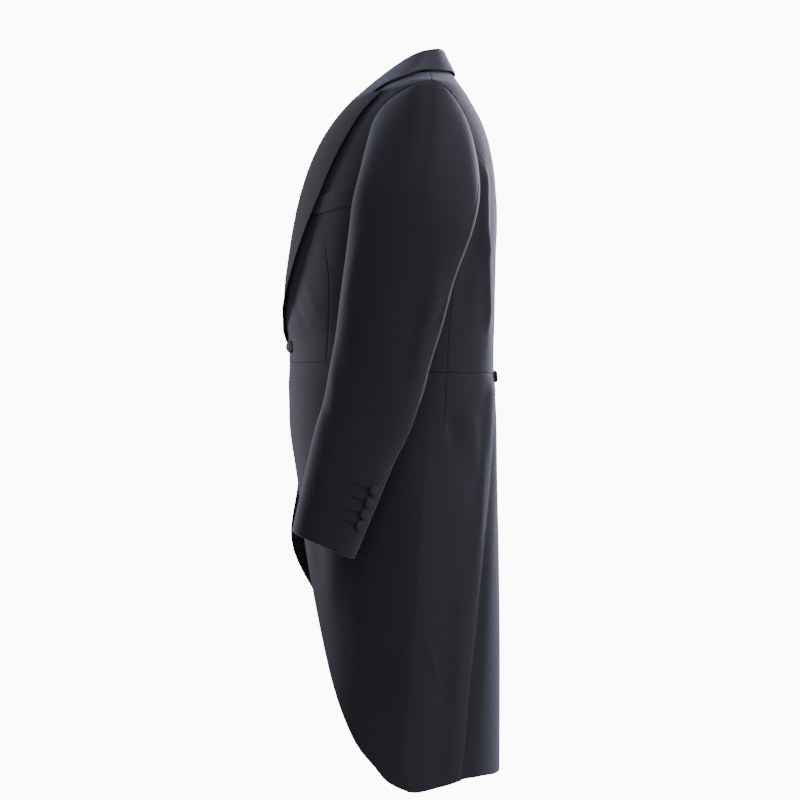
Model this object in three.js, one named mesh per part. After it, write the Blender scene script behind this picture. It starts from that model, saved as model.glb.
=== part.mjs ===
import * as THREE from "three";

// A one-button cutaway morning coat, standing as when worn. Millimetres, +Z up, the front faces -Y
// and the wearer's left is +X. The tables give heights above the hem; the finished coat is moved so
// that the nape, where the wearer holds it up, is the origin.

const NAPE_Y = 68;
const NAPE_Z = 1022;
const CLOTH = 2;
const SEAM_GAP = 0.3;
const FACING = 2.4;
const ARMHOLE_GAP = 0.35;
const BUTTON_AT = 617;
const DEGREE = Math.PI / 180;

// Level sections of the body of the coat: half width, front and back on the middle plane, where the
// section is widest, and how square the front and back halves are (2 is an ellipse).
const SECTIONS = [
  { z: 0, half: 194, front: -150, back: 145.5, mid: 0, nFront: 2.6, nBack: 1.75 },
  { z: 150, half: 194, front: -150, back: 146, mid: 0, nFront: 2.6, nBack: 1.85 },
  { z: 300, half: 192, front: -152, back: 144.5, mid: 0, nFront: 2.6, nBack: 2 },
  { z: 420, half: 186, front: -158, back: 142, mid: 0, nFront: 2.45, nBack: 2.1 },
  { z: 500, half: 172, front: -164, back: 141, mid: 0, nFront: 2.2, nBack: 2.2 },
  { z: 560, half: 160, front: -164, back: 138.5, mid: 0, nFront: 1.9, nBack: 2.25 },
  { z: 594, half: 156, front: -161.5, back: 136.5, mid: 0, nFront: 1.75, nBack: 2.25 },
  { z: 625, half: 156, front: -163, back: 136.8, mid: 2, nFront: 1.75, nBack: 2.25 },
  { z: 650, half: 158, front: -168, back: 137.2, mid: 4, nFront: 1.8, nBack: 2.3 },
  { z: 700, half: 166, front: -166, back: 138.5, mid: 8, nFront: 1.9, nBack: 2.35 },
  { z: 750, half: 177, front: -160, back: 139.5, mid: 12, nFront: 1.98, nBack: 2.4 },
  { z: 800, half: 187, front: -152, back: 140.2, mid: 17, nFront: 2.04, nBack: 2.5 },
  { z: 850, half: 194, front: -140, back: 138.5, mid: 23, nFront: 2.03, nBack: 2.55 },
  { z: 900, half: 199, front: -121, back: 131.5, mid: 30, nFront: 2, nBack: 2.4 },
  { z: 940, half: 206, front: -97, back: 119.5, mid: 37, nFront: 1.9, nBack: 2.1 },
  { z: 958, half: 210, front: -82, back: 110, mid: 41, nFront: 1.82, nBack: 1.95 },
  { z: 970, half: 210.5, front: -70, back: 103, mid: 43, nFront: 1.78, nBack: 1.9 },
  { z: 976, half: 204.5, front: -63, back: 99.5, mid: 43, nFront: 1.75, nBack: 1.88 },
  { z: 990, half: 155, front: -48, back: 91.5, mid: 43, nFront: 1.75, nBack: 1.88 },
  { z: 1002, half: 111, front: -40, back: 84, mid: 42, nFront: 1.8, nBack: 1.95 },
  { z: 1014, half: 68, front: -34, back: 76, mid: 40, nFront: 2.1, nBack: 2 },
  { z: 1022, half: 50, front: -30, back: 69, mid: 38, nFront: 2.1, nBack: 2 },
];

// Soft folds on the panels: from one point to another by angle round the body and height, how far
// they stand out (or in, below zero), and their half width.
const FOLDS = [
  { phi0: 141, z0: 858, phi1: 149, z1: 650, out: 5, wide: 11 },
  { phi0: 131, z0: 845, phi1: 138, z1: 650, out: -3.5, wide: 15 },
  { phi0: 122, z0: 548, phi1: 126, z1: 470, out: -4, wide: 14 },
  { phi0: 99, z0: 470, phi1: 92, z1: 20, out: 5, wide: 26 },
  { phi0: 84, z0: 400, phi1: 80, z1: 60, out: -4, wide: 22 },
  { phi0: 113, z0: 420, phi1: 108, z1: 20, out: -4.5, wide: 20 },
  { phi0: 97, z0: 210, phi1: 104, z1: 165, out: 3, wide: 12 },
  { phi0: 62, z0: 500, phi1: 60, z1: 230, out: 3, wide: 20 },
];

// The armhole by angle round the body and height. The front goes from the underarm up to the
// shoulder point and the rear does the same behind. "round" is the place on the sleeve's section.
const ARMHOLE_FRONT = [
  { phi: 112, z: 785, round: 235 },
  { phi: 106, z: 789, round: 258 },
  { phi: 98, z: 794, round: 279 },
  { phi: 89, z: 800, round: 300 },
  { phi: 81, z: 808, round: 322 },
  { phi: 75, z: 819, round: 340 },
  { phi: 70.5, z: 838, round: 356 },
  { phi: 68, z: 865, round: 370 },
  { phi: 67.2, z: 895, round: 384 },
  { phi: 67.5, z: 922, round: 398 },
  { phi: 70, z: 943, round: 412 },
  { phi: 75, z: 958, round: 425 },
  { phi: 83, z: 971.5, round: 438 },
  { phi: 90, z: 978.5, round: 451 },
];
const ARMHOLE_REAR = [
  { phi: 112, z: 785, round: 235 },
  { phi: 115, z: 806, round: 210 },
  { phi: 116.8, z: 830, round: 190 },
  { phi: 117.5, z: 852, round: 172 },
  { phi: 116.8, z: 870, round: 157 },
  { phi: 115.5, z: 886, round: 149 },
  { phi: 113, z: 906, round: 140 },
  { phi: 109.5, z: 928, round: 129 },
  { phi: 104, z: 948, round: 117 },
  { phi: 97, z: 966, round: 104 },
  { phi: 90, z: 978.5, round: 91 },
];
const FOREARM_SEAM = 4;
const HINDARM_SEAM = 4;
const SIDE_BODY_TOP = 5;

// Sleeve sections from the underarm to the cuff: the front and rear edges in side view, the middle's
// distance from the middle plane, half the sleeve's thickness that way, and how square the section
// is, because a sleeve hangs flatter towards its cuff.
const SLEEVE = [
  { yf: -66.4, zf: 796.7, yr: 92.9, zr: 752.8, x: 230, half: 43, square: 2 },
  { yf: -72.4, zf: 744.5, yr: 73.1, zr: 698.4, x: 233, half: 43, square: 2 },
  { yf: -80.7, zf: 682, yr: 58.2, zr: 641.5, x: 235, half: 43, square: 2.05 },
  { yf: -86.8, zf: 630.6, yr: 43.3, zr: 594, x: 237, half: 42, square: 2.15 },
  { yf: -95, zf: 585, yr: 29.7, zr: 545.4, x: 239, half: 41, square: 2.3 },
  { yf: -103.2, zf: 540, yr: 12.2, zr: 494, x: 241, half: 41, square: 2.45 },
  { yf: -115.5, zf: 498.7, yr: -6.7, zr: 456.3, x: 243, half: 41, square: 2.6 },
  { yf: -130.8, zf: 430.8, yr: -33.7, zr: 391.6, x: 245, half: 41, square: 2.75 },
  { yf: -145.3, zf: 364.6, yr: -60.7, zr: 327.5, x: 247, half: 42, square: 2.8 },
];

// Seams by angle and height: the side seam, the curved seam behind the side body, and the pleat edge
// behind each skirt.
const SIDE_SEAM = [
  { phi: 115, z: 578 },
  { phi: 114.9, z: 606 },
  { phi: 114.6, z: 634 },
  { phi: 114.2, z: 662 },
  { phi: 113.6, z: 692 },
  { phi: 113, z: 722 },
  { phi: 112.4, z: 754 },
];
const BACK_SEAM = [
  { phi: 168, z: 578 },
  { phi: 168, z: 606 },
  { phi: 167.6, z: 634 },
  { phi: 167, z: 662 },
  { phi: 166, z: 692 },
  { phi: 164, z: 722 },
  { phi: 160.5, z: 754 },
  { phi: 155, z: 787 },
  { phi: 149, z: 812 },
  { phi: 143, z: 833 },
  { phi: 136, z: 851 },
  { phi: 128, z: 867 },
  { phi: 115.9, z: 887 },
];
const PLEAT = [
  { phi: 168, z: 577.5 },
  { phi: 163, z: 562 },
  { phi: 158, z: 543 },
  { phi: 154, z: 515 },
  { phi: 150.5, z: 475 },
  { phi: 146, z: 415 },
  { phi: 138.5, z: 345 },
  { phi: 132.5, z: 262 },
  { phi: 129.5, z: 205 },
  { phi: 126, z: 145 },
  { phi: 124, z: 95 },
  { phi: 122.8, z: 60 },
  { phi: 121.8, z: 38 },
  { phi: 121, z: 22 },
  { phi: 120.5, z: 10.5 },
];
// The cutaway front edge of a skirt, row for row with the pleat above.
const CUTAWAY = [
  { phi: 3, z: 593.8 },
  { phi: 6.5, z: 572 },
  { phi: 11, z: 544 },
  { phi: 16.5, z: 508 },
  { phi: 23.5, z: 468 },
  { phi: 30.5, z: 413 },
  { phi: 38.5, z: 345 },
  { phi: 48.5, z: 262 },
  { phi: 54.5, z: 207 },
  { phi: 61.5, z: 147 },
  { phi: 67.5, z: 102 },
  { phi: 73.5, z: 64 },
  { phi: 79.5, z: 39.5 },
  { phi: 85.6, z: 18 },
  { phi: 94.5, z: 1.2 },
];
// How far the hem is above level by angle, from the skirt's corner to the centre back.
const HEM = [
  { phi: 94.5, z: 1.2 },
  { phi: 106.5, z: 5 },
  { phi: 117.7, z: 9.4 },
  { phi: 126.7, z: 10.8 },
  { phi: 138.4, z: 10 },
  { phi: 154.6, z: 7.5 },
  { phi: 180, z: 5 },
];
const PLEAT_UNDERLAY = 4.5;
const PLEAT_STEP = 3.2;
const CENTRE_VENT = 0.7;

// The lapel, row by row: the height of the fold, and the outer edge with how far it stands off.
const LAPEL = [
  { fold: 625, phi: 5, z: 628, off: 3.4 },
  { fold: 640, phi: 9, z: 646, off: 4.5 },
  { fold: 660, phi: 13.6, z: 667, off: 7 },
  { fold: 684, phi: 19, z: 692, off: 9 },
  { fold: 712, phi: 24.8, z: 719, off: 9 },
  { fold: 742, phi: 30.3, z: 750, off: 8.5 },
  { fold: 780, phi: 37.4, z: 788, off: 7.5 },
  { fold: 820, phi: 43.4, z: 827, off: 6.5 },
  { fold: 862, phi: 49.2, z: 869, off: 6 },
  { fold: 902, phi: 55, z: 907, off: 5.5 },
  { fold: 930, phi: 60, z: 936, off: 5.2 },
  { fold: 950, phi: 64, z: 951.5, off: 5 },
  { fold: 966, phi: 69, z: 966, off: 5 },
];
const GORGE = { z: 966, dip: 4, corner: 61 };

// The collar from the centre back to the gorge: the fold, and the outer edge of the fall. "at" is
// the place of its seam: on the back neck by angle, then down the forepart's edge by height.
const COLLAR = [
  { neck: 180, fx: 0, fy: 63, fz: 1048, ex: 0, ey: 81, ez: 1014.5 },
  { neck: 158, fx: 23, fy: 61.5, fz: 1047.6, ex: 32, ey: 79.5, ez: 1013.5 },
  { neck: 136, fx: 43, fy: 56.5, fz: 1046, ex: 68, ey: 72.5, ez: 1011 },
  { neck: 112, fx: 57, fy: 47, fz: 1043.5, ex: 99, ey: 57.5, ez: 1007.5 },
  { neck: 92, fx: 63, fy: 33, fz: 1040, ex: 115, ey: 35, ez: 1006 },
  { edge: 1012.6, fx: 64, fy: 14, fz: 1032, ex: 132, ey: 15, ez: 998.5 },
  { edge: 1009, fx: 63, fy: -4, fz: 1021, ex: 143, ey: -3, ez: 990 },
  { edge: 1000, fx: 62, fy: -23, fz: 1007, ex: 150, ey: -18, ez: 982 },
  { edge: 986, fx: 60.5, fy: -45, fz: 989.5, ex: 150, ey: -29, ez: 976 },
  { edge: 969.5, fx: 59.4, fy: -71.5, fz: 970.6, ex: 142, ey: -41, ez: 971.5, gorge: true },
];
const COLLAR_FOLD = 2.6;

// The breast welt's four corners by angle and height, and buttons by place and size.
const WELT = { phi0: 38.5, phi1: 65, low0: 799, low1: 809, high0: 824.5, high1: 836 };
const COVERED_BUTTON = { dia: 17.7, thick: 4.2 };
const BACK_BUTTON = { dia: 17, thick: 4.5, phi: 168, z: 574 };
const CUFF_BUTTON = { dia: 14.6, thick: 3.4, count: 4, first: 45, pitch: 16.5, round: 134 };

const cloth = new THREE.MeshStandardMaterial({ color: 0x2c2d33, roughness: 0.92 });
const buttonStuff = new THREE.MeshStandardMaterial({ color: 0x1d1e22, roughness: 0.7 });
const coat = new THREE.Group();

// A smooth line through one column of a table that does not overshoot it.
function column(rows, by, key) {
  const x = rows.map((r) => r[by]);
  const y = rows.map((r) => r[key]);
  const last = x.length - 1;
  const slope = x.slice(1).map((v, i) => (y[i + 1] - y[i]) / (v - x[i]));
  const m = x.map((v, i) => {
    if (i === 0) return slope[0];
    if (i === last) return slope[last - 1];
    if (slope[i - 1] * slope[i] <= 0) return 0;
    const w1 = 2 * (x[i + 1] - v) + (v - x[i - 1]);
    const w2 = x[i + 1] - v + 2 * (v - x[i - 1]);
    return (w1 + w2) / (w1 / slope[i - 1] + w2 / slope[i]);
  });
  return (at) => {
    const t = Math.min(Math.max(at, x[0]), x[last]);
    let i = 0;
    while (i < last - 1 && t > x[i + 1]) i += 1;
    const h = x[i + 1] - x[i];
    const s = (t - x[i]) / h;
    const r = 1 - s;
    const ends = (1 + 2 * s) * r * r * y[i] + s * s * (3 - 2 * s) * y[i + 1];
    return ends + s * r * r * h * m[i] - s * s * r * h * m[i + 1];
  };
}

const section = {};
for (const key of ["half", "front", "back", "mid", "nFront", "nBack"]) {
  section[key] = column(SECTIONS, "z", key);
}
const hemAt = column(HEM, "phi", "z");
const mix = (a, b, t) => a + (b - a) * t;
const ease = (t) => {
  const s = Math.min(Math.max(t, 0), 1);
  return s * s * (3 - 2 * s);
};

// A point of the plain body shape on the wearer's left: phi is 0 in front and 180 behind.
function plain(phi, z) {
  const s = Math.sin(phi * DEGREE);
  const c = Math.cos(phi * DEGREE);
  const mid = section.mid(z);
  const deep = c > 0 ? mid - section.front(z) : section.back(z) - mid;
  const n = c > 0 ? section.nFront(z) : section.nBack(z);
  const r = (Math.abs(s / section.half(z)) ** n + Math.abs(c / deep) ** n) ** (-1 / n);
  return new THREE.Vector3(r * s, mid - r * c, z);
}

function foldsAt(phi, z) {
  let sum = 0;
  for (const f of FOLDS) {
    const along = Math.min(Math.max((z - f.z0) / (f.z1 - f.z0), 0), 1);
    const beyond = Math.max(z - f.z0, f.z1 - z, 0);
    const across = (phi - mix(f.phi0, f.phi1, along)) * 2.9;
    const ends = ease(along / 0.25) * ease((1 - along) / 0.2 + 0.35);
    const reach = Math.exp(-((across / f.wide) ** 2) - (beyond / 30) ** 2);
    sum += f.out * reach * Math.max(ends, 0);
  }
  return sum;
}

// A point of the cloth, moved out by off along the outward normal, on either side of the coat.
function cloth_at(side, phi, z, off = 0) {
  const p = plain(phi, z);
  const across = plain(phi + 0.5, z).sub(plain(phi - 0.5, z));
  const up = plain(phi, Math.min(z + 1, 1022)).sub(plain(phi, Math.max(z - 1, 0)));
  const n = across.cross(up).normalize();
  if (n.dot(new THREE.Vector3(p.x, p.y - section.mid(z), 0)) < 0) n.negate();
  p.addScaledVector(n, off + foldsAt(phi, z));
  if (side < 0) {
    // The right skirt hangs a little further forward than the left.
    p.y -= 32 * Math.exp(-(((z - 322) / 82) ** 2)) * ease((100 - phi) / 50);
    p.x *= -1;
    n.x *= -1;
  }
  return { p, n };
}

// The forepart's front edge: nearly meeting at the button, then the roll line out to the neck.
function edgeWidth(z) {
  if (z < BUTTON_AT) return 2.6 + (BUTTON_AT - z) * 0.24;
  return Math.min(2.6 + (z - BUTTON_AT) * 0.163, section.half(z) * 0.985);
}

function edgePhi(z) {
  const want = edgeWidth(z);
  let low = 0;
  let high = 90;
  for (let i = 0; i < 40; i += 1) {
    const middle = (low + high) / 2;
    if (plain(middle, z).x < want) low = middle;
    else high = middle;
  }
  return low;
}

function normalsOf(points, closed) {
  const rows = points.length;
  const cols = points[0].length;
  return points.map((row, i) =>
    row.map((p, j) => {
      const up = points[Math.min(i + 1, rows - 1)][j].clone().sub(points[Math.max(i - 1, 0)][j]);
      const right = closed ? row[(j + 1) % cols] : row[Math.min(j + 1, cols - 1)];
      const left = closed ? row[(j + cols - 1) % cols] : row[Math.max(j - 1, 0)];
      return up.cross(right.clone().sub(left)).normalize();
    }),
  );
}

// Closes a grid of outer points and one of inner points into a wall, with its four narrow edges.
function addWall(name, outer, inner, material = cloth) {
  const rows = outer.length;
  const cols = outer[0].length;
  const at = (layer, i, j) => layer * rows * cols + i * cols + j;
  const positions = [outer, inner].flatMap((g) => g.flatMap((r) => r.flatMap((p) => p.toArray())));
  const index = [];
  const quad = (a, b, c, d) => index.push(a, b, c, a, c, d);
  for (let i = 0; i < rows - 1; i += 1) {
    for (let j = 0; j < cols - 1; j += 1) {
      // Each four-sided patch folds along its shorter diagonal, alike inside and outside.
      const one = outer[i][j].distanceTo(outer[i + 1][j + 1]);
      const other = outer[i][j + 1].distanceTo(outer[i + 1][j]);
      const [a, b, c, d] = [[i, j], [i, j + 1], [i + 1, j + 1], [i + 1, j]];
      const turn = one <= other ? [a, b, c, d] : [b, c, d, a];
      quad(...turn.map((q) => at(0, ...q)));
      quad(...[turn[0], turn[3], turn[2], turn[1]].map((q) => at(1, ...q)));
    }
    quad(at(0, i + 1, 0), at(1, i + 1, 0), at(1, i, 0), at(0, i, 0));
    quad(at(0, i, cols - 1), at(1, i, cols - 1), at(1, i + 1, cols - 1), at(0, i + 1, cols - 1));
  }
  for (let j = 0; j < cols - 1; j += 1) {
    quad(at(0, 0, j), at(1, 0, j), at(1, 0, j + 1), at(0, 0, j + 1));
    quad(at(0, rows - 1, j + 1), at(1, rows - 1, j + 1), at(1, rows - 1, j), at(0, rows - 1, j));
  }
  addMesh(name, positions, index, material);
}

function addMesh(name, positions, index, material) {
  let volume = 0;
  const v = (k) => new THREE.Vector3().fromArray(positions, 3 * k);
  for (let k = 0; k < index.length; k += 3) {
    volume += v(index[k]).dot(v(index[k + 1]).cross(v(index[k + 2])));
  }
  if (volume < 0) {
    for (let k = 0; k < index.length; k += 3) {
      [index[k + 1], index[k + 2]] = [index[k + 2], index[k + 1]];
    }
  }
  const geometry = new THREE.BufferGeometry();
  geometry.setAttribute("position", new THREE.Float32BufferAttribute(positions, 3));
  geometry.setIndex(index);
  geometry.translate(0, -NAPE_Y, -NAPE_Z);
  geometry.computeVertexNormals();
  const mesh = new THREE.Mesh(geometry, material);
  mesh.name = name;
  coat.add(mesh);
}

// Draws the edges of a grid of points in by half the seam gap: bottom, top, first and last column.
function drawIn(points, edges, by = SEAM_GAP / 2) {
  const rows = points.length;
  const cols = points[0].length;
  const moved = points.map((r) => r.map((p) => p.clone()));
  const pull = (i, j, i2, j2) => {
    const way = points[i2][j2].clone().sub(points[i][j]).normalize();
    moved[i][j].addScaledVector(way, by);
  };
  for (let j = 0; j < cols; j += 1) {
    if (edges.includes("bottom")) pull(0, j, 1, j);
    if (edges.includes("top")) pull(rows - 1, j, rows - 2, j);
  }
  for (let i = 0; i < rows; i += 1) {
    if (edges.includes("first")) pull(i, 0, i, 1);
    if (edges.includes("last")) pull(i, cols - 1, i, cols - 2);
  }
  return moved;
}

// A panel between two edges given row for row, with the cloth's thickness behind it.
function addPanel(name, side, from, to, cols, edges, offAt = () => 0, heightAt = null) {
  const grid = from.map((a, i) => {
    const row = [];
    for (let j = 0; j <= cols; j += 1) {
      const s = j / cols;
      const phi = mix(a.phi, to[i].phi, s);
      const z = heightAt ? heightAt(i, s, phi) : mix(a.z, to[i].z, s);
      row.push(cloth_at(side, phi, z, offAt(i, phi, z)));
    }
    return row;
  });
  const outer = drawIn(grid.map((r) => r.map((c) => c.p)), edges);
  const inner = outer.map((r, i) => r.map((p, j) => p.clone().addScaledVector(grid[i][j].n, -CLOTH)));
  addWall(name, outer, inner);
}

const waistSeam = (phi) => mix(593.8, 578, ease((phi - 40) / 70));
const sideName = (side) => (side > 0 ? "left" : "right");
const shoulder = [984, 991, 998, 1006, 1012.4].map((z) => ({ phi: 90, z }));

function addForepart(side) {
  const outerEdge = [...SIDE_SEAM, ...ARMHOLE_FRONT, ...shoulder];
  const foldHeights = [593.8, 608, 626, 650, 680, 711, 744, 774, 783, 792, 801, 811, 823, 839];
  foldHeights.push(861, 886, 910, 930, 946, 958, 968, 978, 988, 997, 1004.5, 1010.5);
  const frontEdge = foldHeights.map((z) => ({ phi: edgePhi(z), z }));
  const heightAt = (i, s, phi) => {
    const z = mix(frontEdge[i].z, outerEdge[i].z, s);
    return i === 0 ? waistSeam(phi) : z;
  };
  addPanel("forepart_" + sideName(side), side, frontEdge, outerEdge, 13, ["bottom", "last"], () => 0,
    heightAt);
}

function addSideBody(side) {
  const front = [...SIDE_SEAM, ...ARMHOLE_REAR.slice(0, SIDE_BODY_TOP + 1)];
  const rear = [];
  for (let i = 0; i < front.length; i += 1) rear.push(BACK_SEAM[i]);
  addPanel("side_body_" + sideName(side), side, front, rear, 6, ["bottom", "first", "last"]);
}

function addBack(side) {
  const tail = [];
  for (const p of [...PLEAT].reverse().slice(0, -1)) {
    const under = PLEAT_UNDERLAY * ease((548 - p.z) / 25);
    tail.push({ phi: p.phi - under, z: p.z });
  }
  tail[0].z = hemAt(tail[0].phi);
  const upper = [...BACK_SEAM, ...ARMHOLE_REAR.slice(SIDE_BODY_TOP), ...shoulder];
  const sideEdge = [...tail, ...upper.filter((p, i) => i !== BACK_SEAM.length)];
  const centre = sideEdge.map((p, i) => {
    const t = ease((p.z - 860) / 150);
    const z = i === 0 ? hemAt(180) : mix(p.z, p.z + 9, t);
    return { phi: p.z < 560 ? 180 - CENTRE_VENT * ease((560 - p.z) / 60) : 180, z };
  });
  centre[0].phi = 180 - CENTRE_VENT;
  centre[centre.length - 1].z = NAPE_Z;
  const heightAt = (i, s, phi) => {
    if (i === 0) return hemAt(phi);
    return mix(centre[i].z, sideEdge[i].z, s);
  };
  addPanel("back_" + sideName(side), side, centre, sideEdge, 9, ["first", "last"], () => 0, heightAt);
}

function addSkirt(side) {
  const rows = CUTAWAY.length;
  const offAt = (i, phi, z) => {
    const drop = ease((577 - z) / 30);
    const near = ease((phi - (PLEAT[i].phi - 17)) / 10);
    return PLEAT_STEP * drop * near;
  };
  const heightAt = (i, s, phi) => {
    if (i === 0) return waistSeam(phi) - 0.15;
    if (i === rows - 1) return hemAt(phi);
    return mix(CUTAWAY[i].z, PLEAT[i].z, s);
  };
  addPanel("skirt_" + sideName(side), side, CUTAWAY, PLEAT, 18, ["bottom", "last"], offAt, heightAt);
}

// The armhole as one ring: down the rear from the shoulder to the underarm, then up the front.
const ring = [...[...ARMHOLE_REAR].reverse(), ...ARMHOLE_FRONT.slice(1, -1)];
const sleeveLine = {};
SLEEVE.forEach((r, i) => {
  r.at = i;
});
for (const key of ["yf", "zf", "yr", "zr", "x", "half", "square"]) {
  sleeveLine[key] = column(SLEEVE, "at", key);
}

function sleevePoint(side, at, round) {
  const squared = (v) => Math.sign(v) * Math.abs(v) ** (2 / sleeveLine.square(at));
  const c = squared(Math.cos(round * DEGREE));
  const s = squared(Math.sin(round * DEGREE));
  const y = mix(sleeveLine.yr(at), sleeveLine.yf(at), (c + 1) / 2);
  const z = mix(sleeveLine.zr(at), sleeveLine.zf(at), (c + 1) / 2);
  return new THREE.Vector3(side * (sleeveLine.x(at) + sleeveLine.half(at) * s), y, z);
}

function sleeveGrid(side) {
  const cols = ring.length;
  const holes = ring.map((k) => cloth_at(side, k.phi, k.z));
  const centre = new THREE.Vector3();
  for (const h of holes) centre.addScaledVector(h.p, 1 / cols);
  const start = holes.map((h, j) => {
    const along = holes[(j + 1) % cols].p.clone().sub(holes[(j + cols - 1) % cols].p);
    const inward = h.n.clone().cross(along).normalize();
    if (inward.dot(centre.clone().sub(h.p)) < 0) inward.negate();
    return h.p.clone().addScaledVector(inward, ARMHOLE_GAP).addScaledVector(h.n, -1.5);
  });
  const rows = [start];
  const capSteps = [0.06, 0.15, 0.28, 0.42, 0.57, 0.72, 0.86];
  const ends = ring.map((k) => sleevePoint(side, 0, k.round));
  const downs = ring.map((k) => sleevePoint(side, 0.4, k.round).sub(sleevePoint(side, 0, k.round)));
  for (const s of capSteps) {
    rows.push(
      ring.map((k, j) => {
        const reach = ends[j].distanceTo(start[j]);
        const out = holes[j].n.clone().multiplyScalar(Math.min(16 + 0.12 * reach, 30));
        const down = downs[j].clone().setLength(reach * 1.55);
        const r = 1 - s;
        return start[j].clone().multiplyScalar((1 + 2 * s) * r * r)
          .addScaledVector(ends[j], s * s * (3 - 2 * s))
          .addScaledVector(out, s * r * r)
          .addScaledVector(down, -s * s * r);
      }),
    );
  }
  const steps = 15;
  for (let i = 0; i <= steps; i += 1) {
    rows.push(ring.map((k) => sleevePoint(side, (i / steps) * (SLEEVE.length - 1), k.round)));
  }
  return rows;
}

function addSleeve(side) {
  const points = sleeveGrid(side);
  const normals = normalsOf(points, true);
  const middle = points.length - 4;
  const axis = new THREE.Vector3();
  for (const p of points[middle]) axis.addScaledVector(p, 1 / ring.length);
  const sign = normals[middle][0].dot(points[middle][0].clone().sub(axis)) > 0 ? 1 : -1;
  const rearCount = ARMHOLE_REAR.length;
  const hind = rearCount - 1 - HINDARM_SEAM;
  const fore = rearCount - 1 + FOREARM_SEAM;
  const pick = (from, count) => {
    const ids = [];
    for (let k = 0; k < count; k += 1) ids.push((from + k) % ring.length);
    const outer = drawIn(points.map((r) => ids.map((j) => r[j])), ["first", "last"]);
    const inner = outer.map((r, i) =>
      r.map((p, k) => p.clone().addScaledVector(normals[i][ids[k]], -sign * CLOTH)),
    );
    return { outer, inner };
  };
  const under = pick(hind, fore - hind + 1);
  const top = pick(fore, ring.length - (fore - hind) + 1);
  addWall("topsleeve_" + sideName(side), top.outer, top.inner);
  addWall("undersleeve_" + sideName(side), under.outer, under.inner);
}

// The point beside the forepart's edge: by is how far in front of the edge, off how far out.
function besideEdge(side, z, by, off) {
  const phi = edgePhi(z);
  const a = cloth_at(side, phi, z);
  const b = cloth_at(side, phi + 1, z);
  const way = a.p.clone().sub(b.p).normalize();
  return a.p.addScaledVector(way, by).addScaledVector(a.n, off);
}

// The height of the seam between collar and lapel, by angle.
function gorgeAt(phi) {
  const start = edgePhi(GORGE.z);
  const along = Math.min(Math.max((phi - start) / (GORGE.corner - start), 0), 1);
  return GORGE.z - GORGE.dip * Math.sin(Math.PI * along);
}

function addLapel(side) {
  const over = [0.05, 0.14, 0.27, 0.42, 0.58, 0.74, 0.88, 1];
  const last = LAPEL.length - 1;
  const points = LAPEL.map((r, i) => {
    const phi0 = edgePhi(r.fold);
    const start = i === last ? r.fold - 1.2 : r.fold;
    const row = [
      besideEdge(side, start, 3, -1.6),
      besideEdge(side, start, 3.1, 0.9),
      besideEdge(side, start, 1.7, 3.1),
    ];
    for (const s of over) {
      const phi = mix(phi0, r.phi, s);
      const z = i === last ? gorgeAt(phi) : mix(r.fold, r.z, s);
      const off = mix(3.3, r.off, s * s) + (i === 0 ? 0 : 0.8 * Math.sin(Math.PI * s));
      row.push(cloth_at(side, phi, z, off).p);
    }
    return row;
  });
  addSheet("lapel_" + sideName(side), points, FACING, (p) => cloth_at(side, 20, 800).n);
}

// A folded sheet: the side of its grid that faces the given way is the outer side.
function addSheet(name, points, thick, wayOut) {
  const normals = normalsOf(points, false);
  const i = Math.floor(points.length / 2);
  const j = points[0].length - 2;
  const sign = normals[i][j].dot(wayOut(points[i][j])) > 0 ? 1 : -1;
  const inner = points.map((r, a) => r.map((p, b) => p.clone().addScaledVector(normals[a][b], -sign * thick)));
  addWall(name, points, inner);
}

// Keeps a point at least off outside the body of the coat.
function keepClear(side, p, off) {
  const z = Math.min(p.z, 1021);
  const phi = Math.atan2(Math.abs(p.x), section.mid(z) - p.y) / DEGREE;
  const here = cloth_at(side, phi, z);
  const far = p.clone().sub(here.p).dot(here.n);
  return far < off ? p.clone().addScaledVector(here.n, off - far) : p;
}

function collarRow(side, r) {
  const seam = r.neck
    ? cloth_at(side, r.neck, mix(1012.4, NAPE_Z, (r.neck - 90) / 90), 0).p
    : cloth_at(side, edgePhi(r.edge), r.edge, 0).p;
  const fold = new THREE.Vector3(side * r.fx, r.fy, r.fz);
  const edge = new THREE.Vector3(side * r.ex, r.ey, r.ez);
  const up = fold.clone().sub(seam).normalize();
  const fall = edge.clone().sub(fold);
  const out = fall.clone().addScaledVector(up, -fall.dot(up)).normalize();
  const put = (base, o, u) => base.clone().addScaledVector(out, o * COLLAR_FOLD).addScaledVector(up, u * COLLAR_FOLD);
  const stand = fold.distanceTo(seam);
  const row = [
    put(seam, -1, Math.min(0.3, stand / 20)),
    put(seam.clone().lerp(fold, 0.5), -1, 0),
    put(fold, -1, -0.9),
    put(fold, -0.72, -0.28),
    put(fold, 0, 0),
    put(fold, 0.72, -0.28),
  ];
  const top = put(fold, 1.05, -0.9);
  for (const s of [0, 0.2, 0.4, 0.6, 0.8, 1]) {
    const p = top.clone().lerp(edge, s);
    const phi = mix(edgePhi(GORGE.z) + 1, GORGE.corner, s);
    const onGorge = () => cloth_at(side, phi, gorgeAt(phi) + 0.5, 4.2).p;
    if (r.gorge && s > 0) row.push(onGorge());
    else row.push(s === 0 ? p : keepClear(side, p, 4));
  }
  return row;
}

function addCollar() {
  const half = COLLAR.slice(1).reverse();
  const rows = [
    ...half.map((r) => collarRow(1, r)),
    collarRow(1, COLLAR[0]),
    ...[...half].reverse().map((r) => collarRow(-1, r)),
  ];
  addSheet("collar", rows, CLOTH, (p) => new THREE.Vector3(0, 0.6, 0.8));
}

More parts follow.
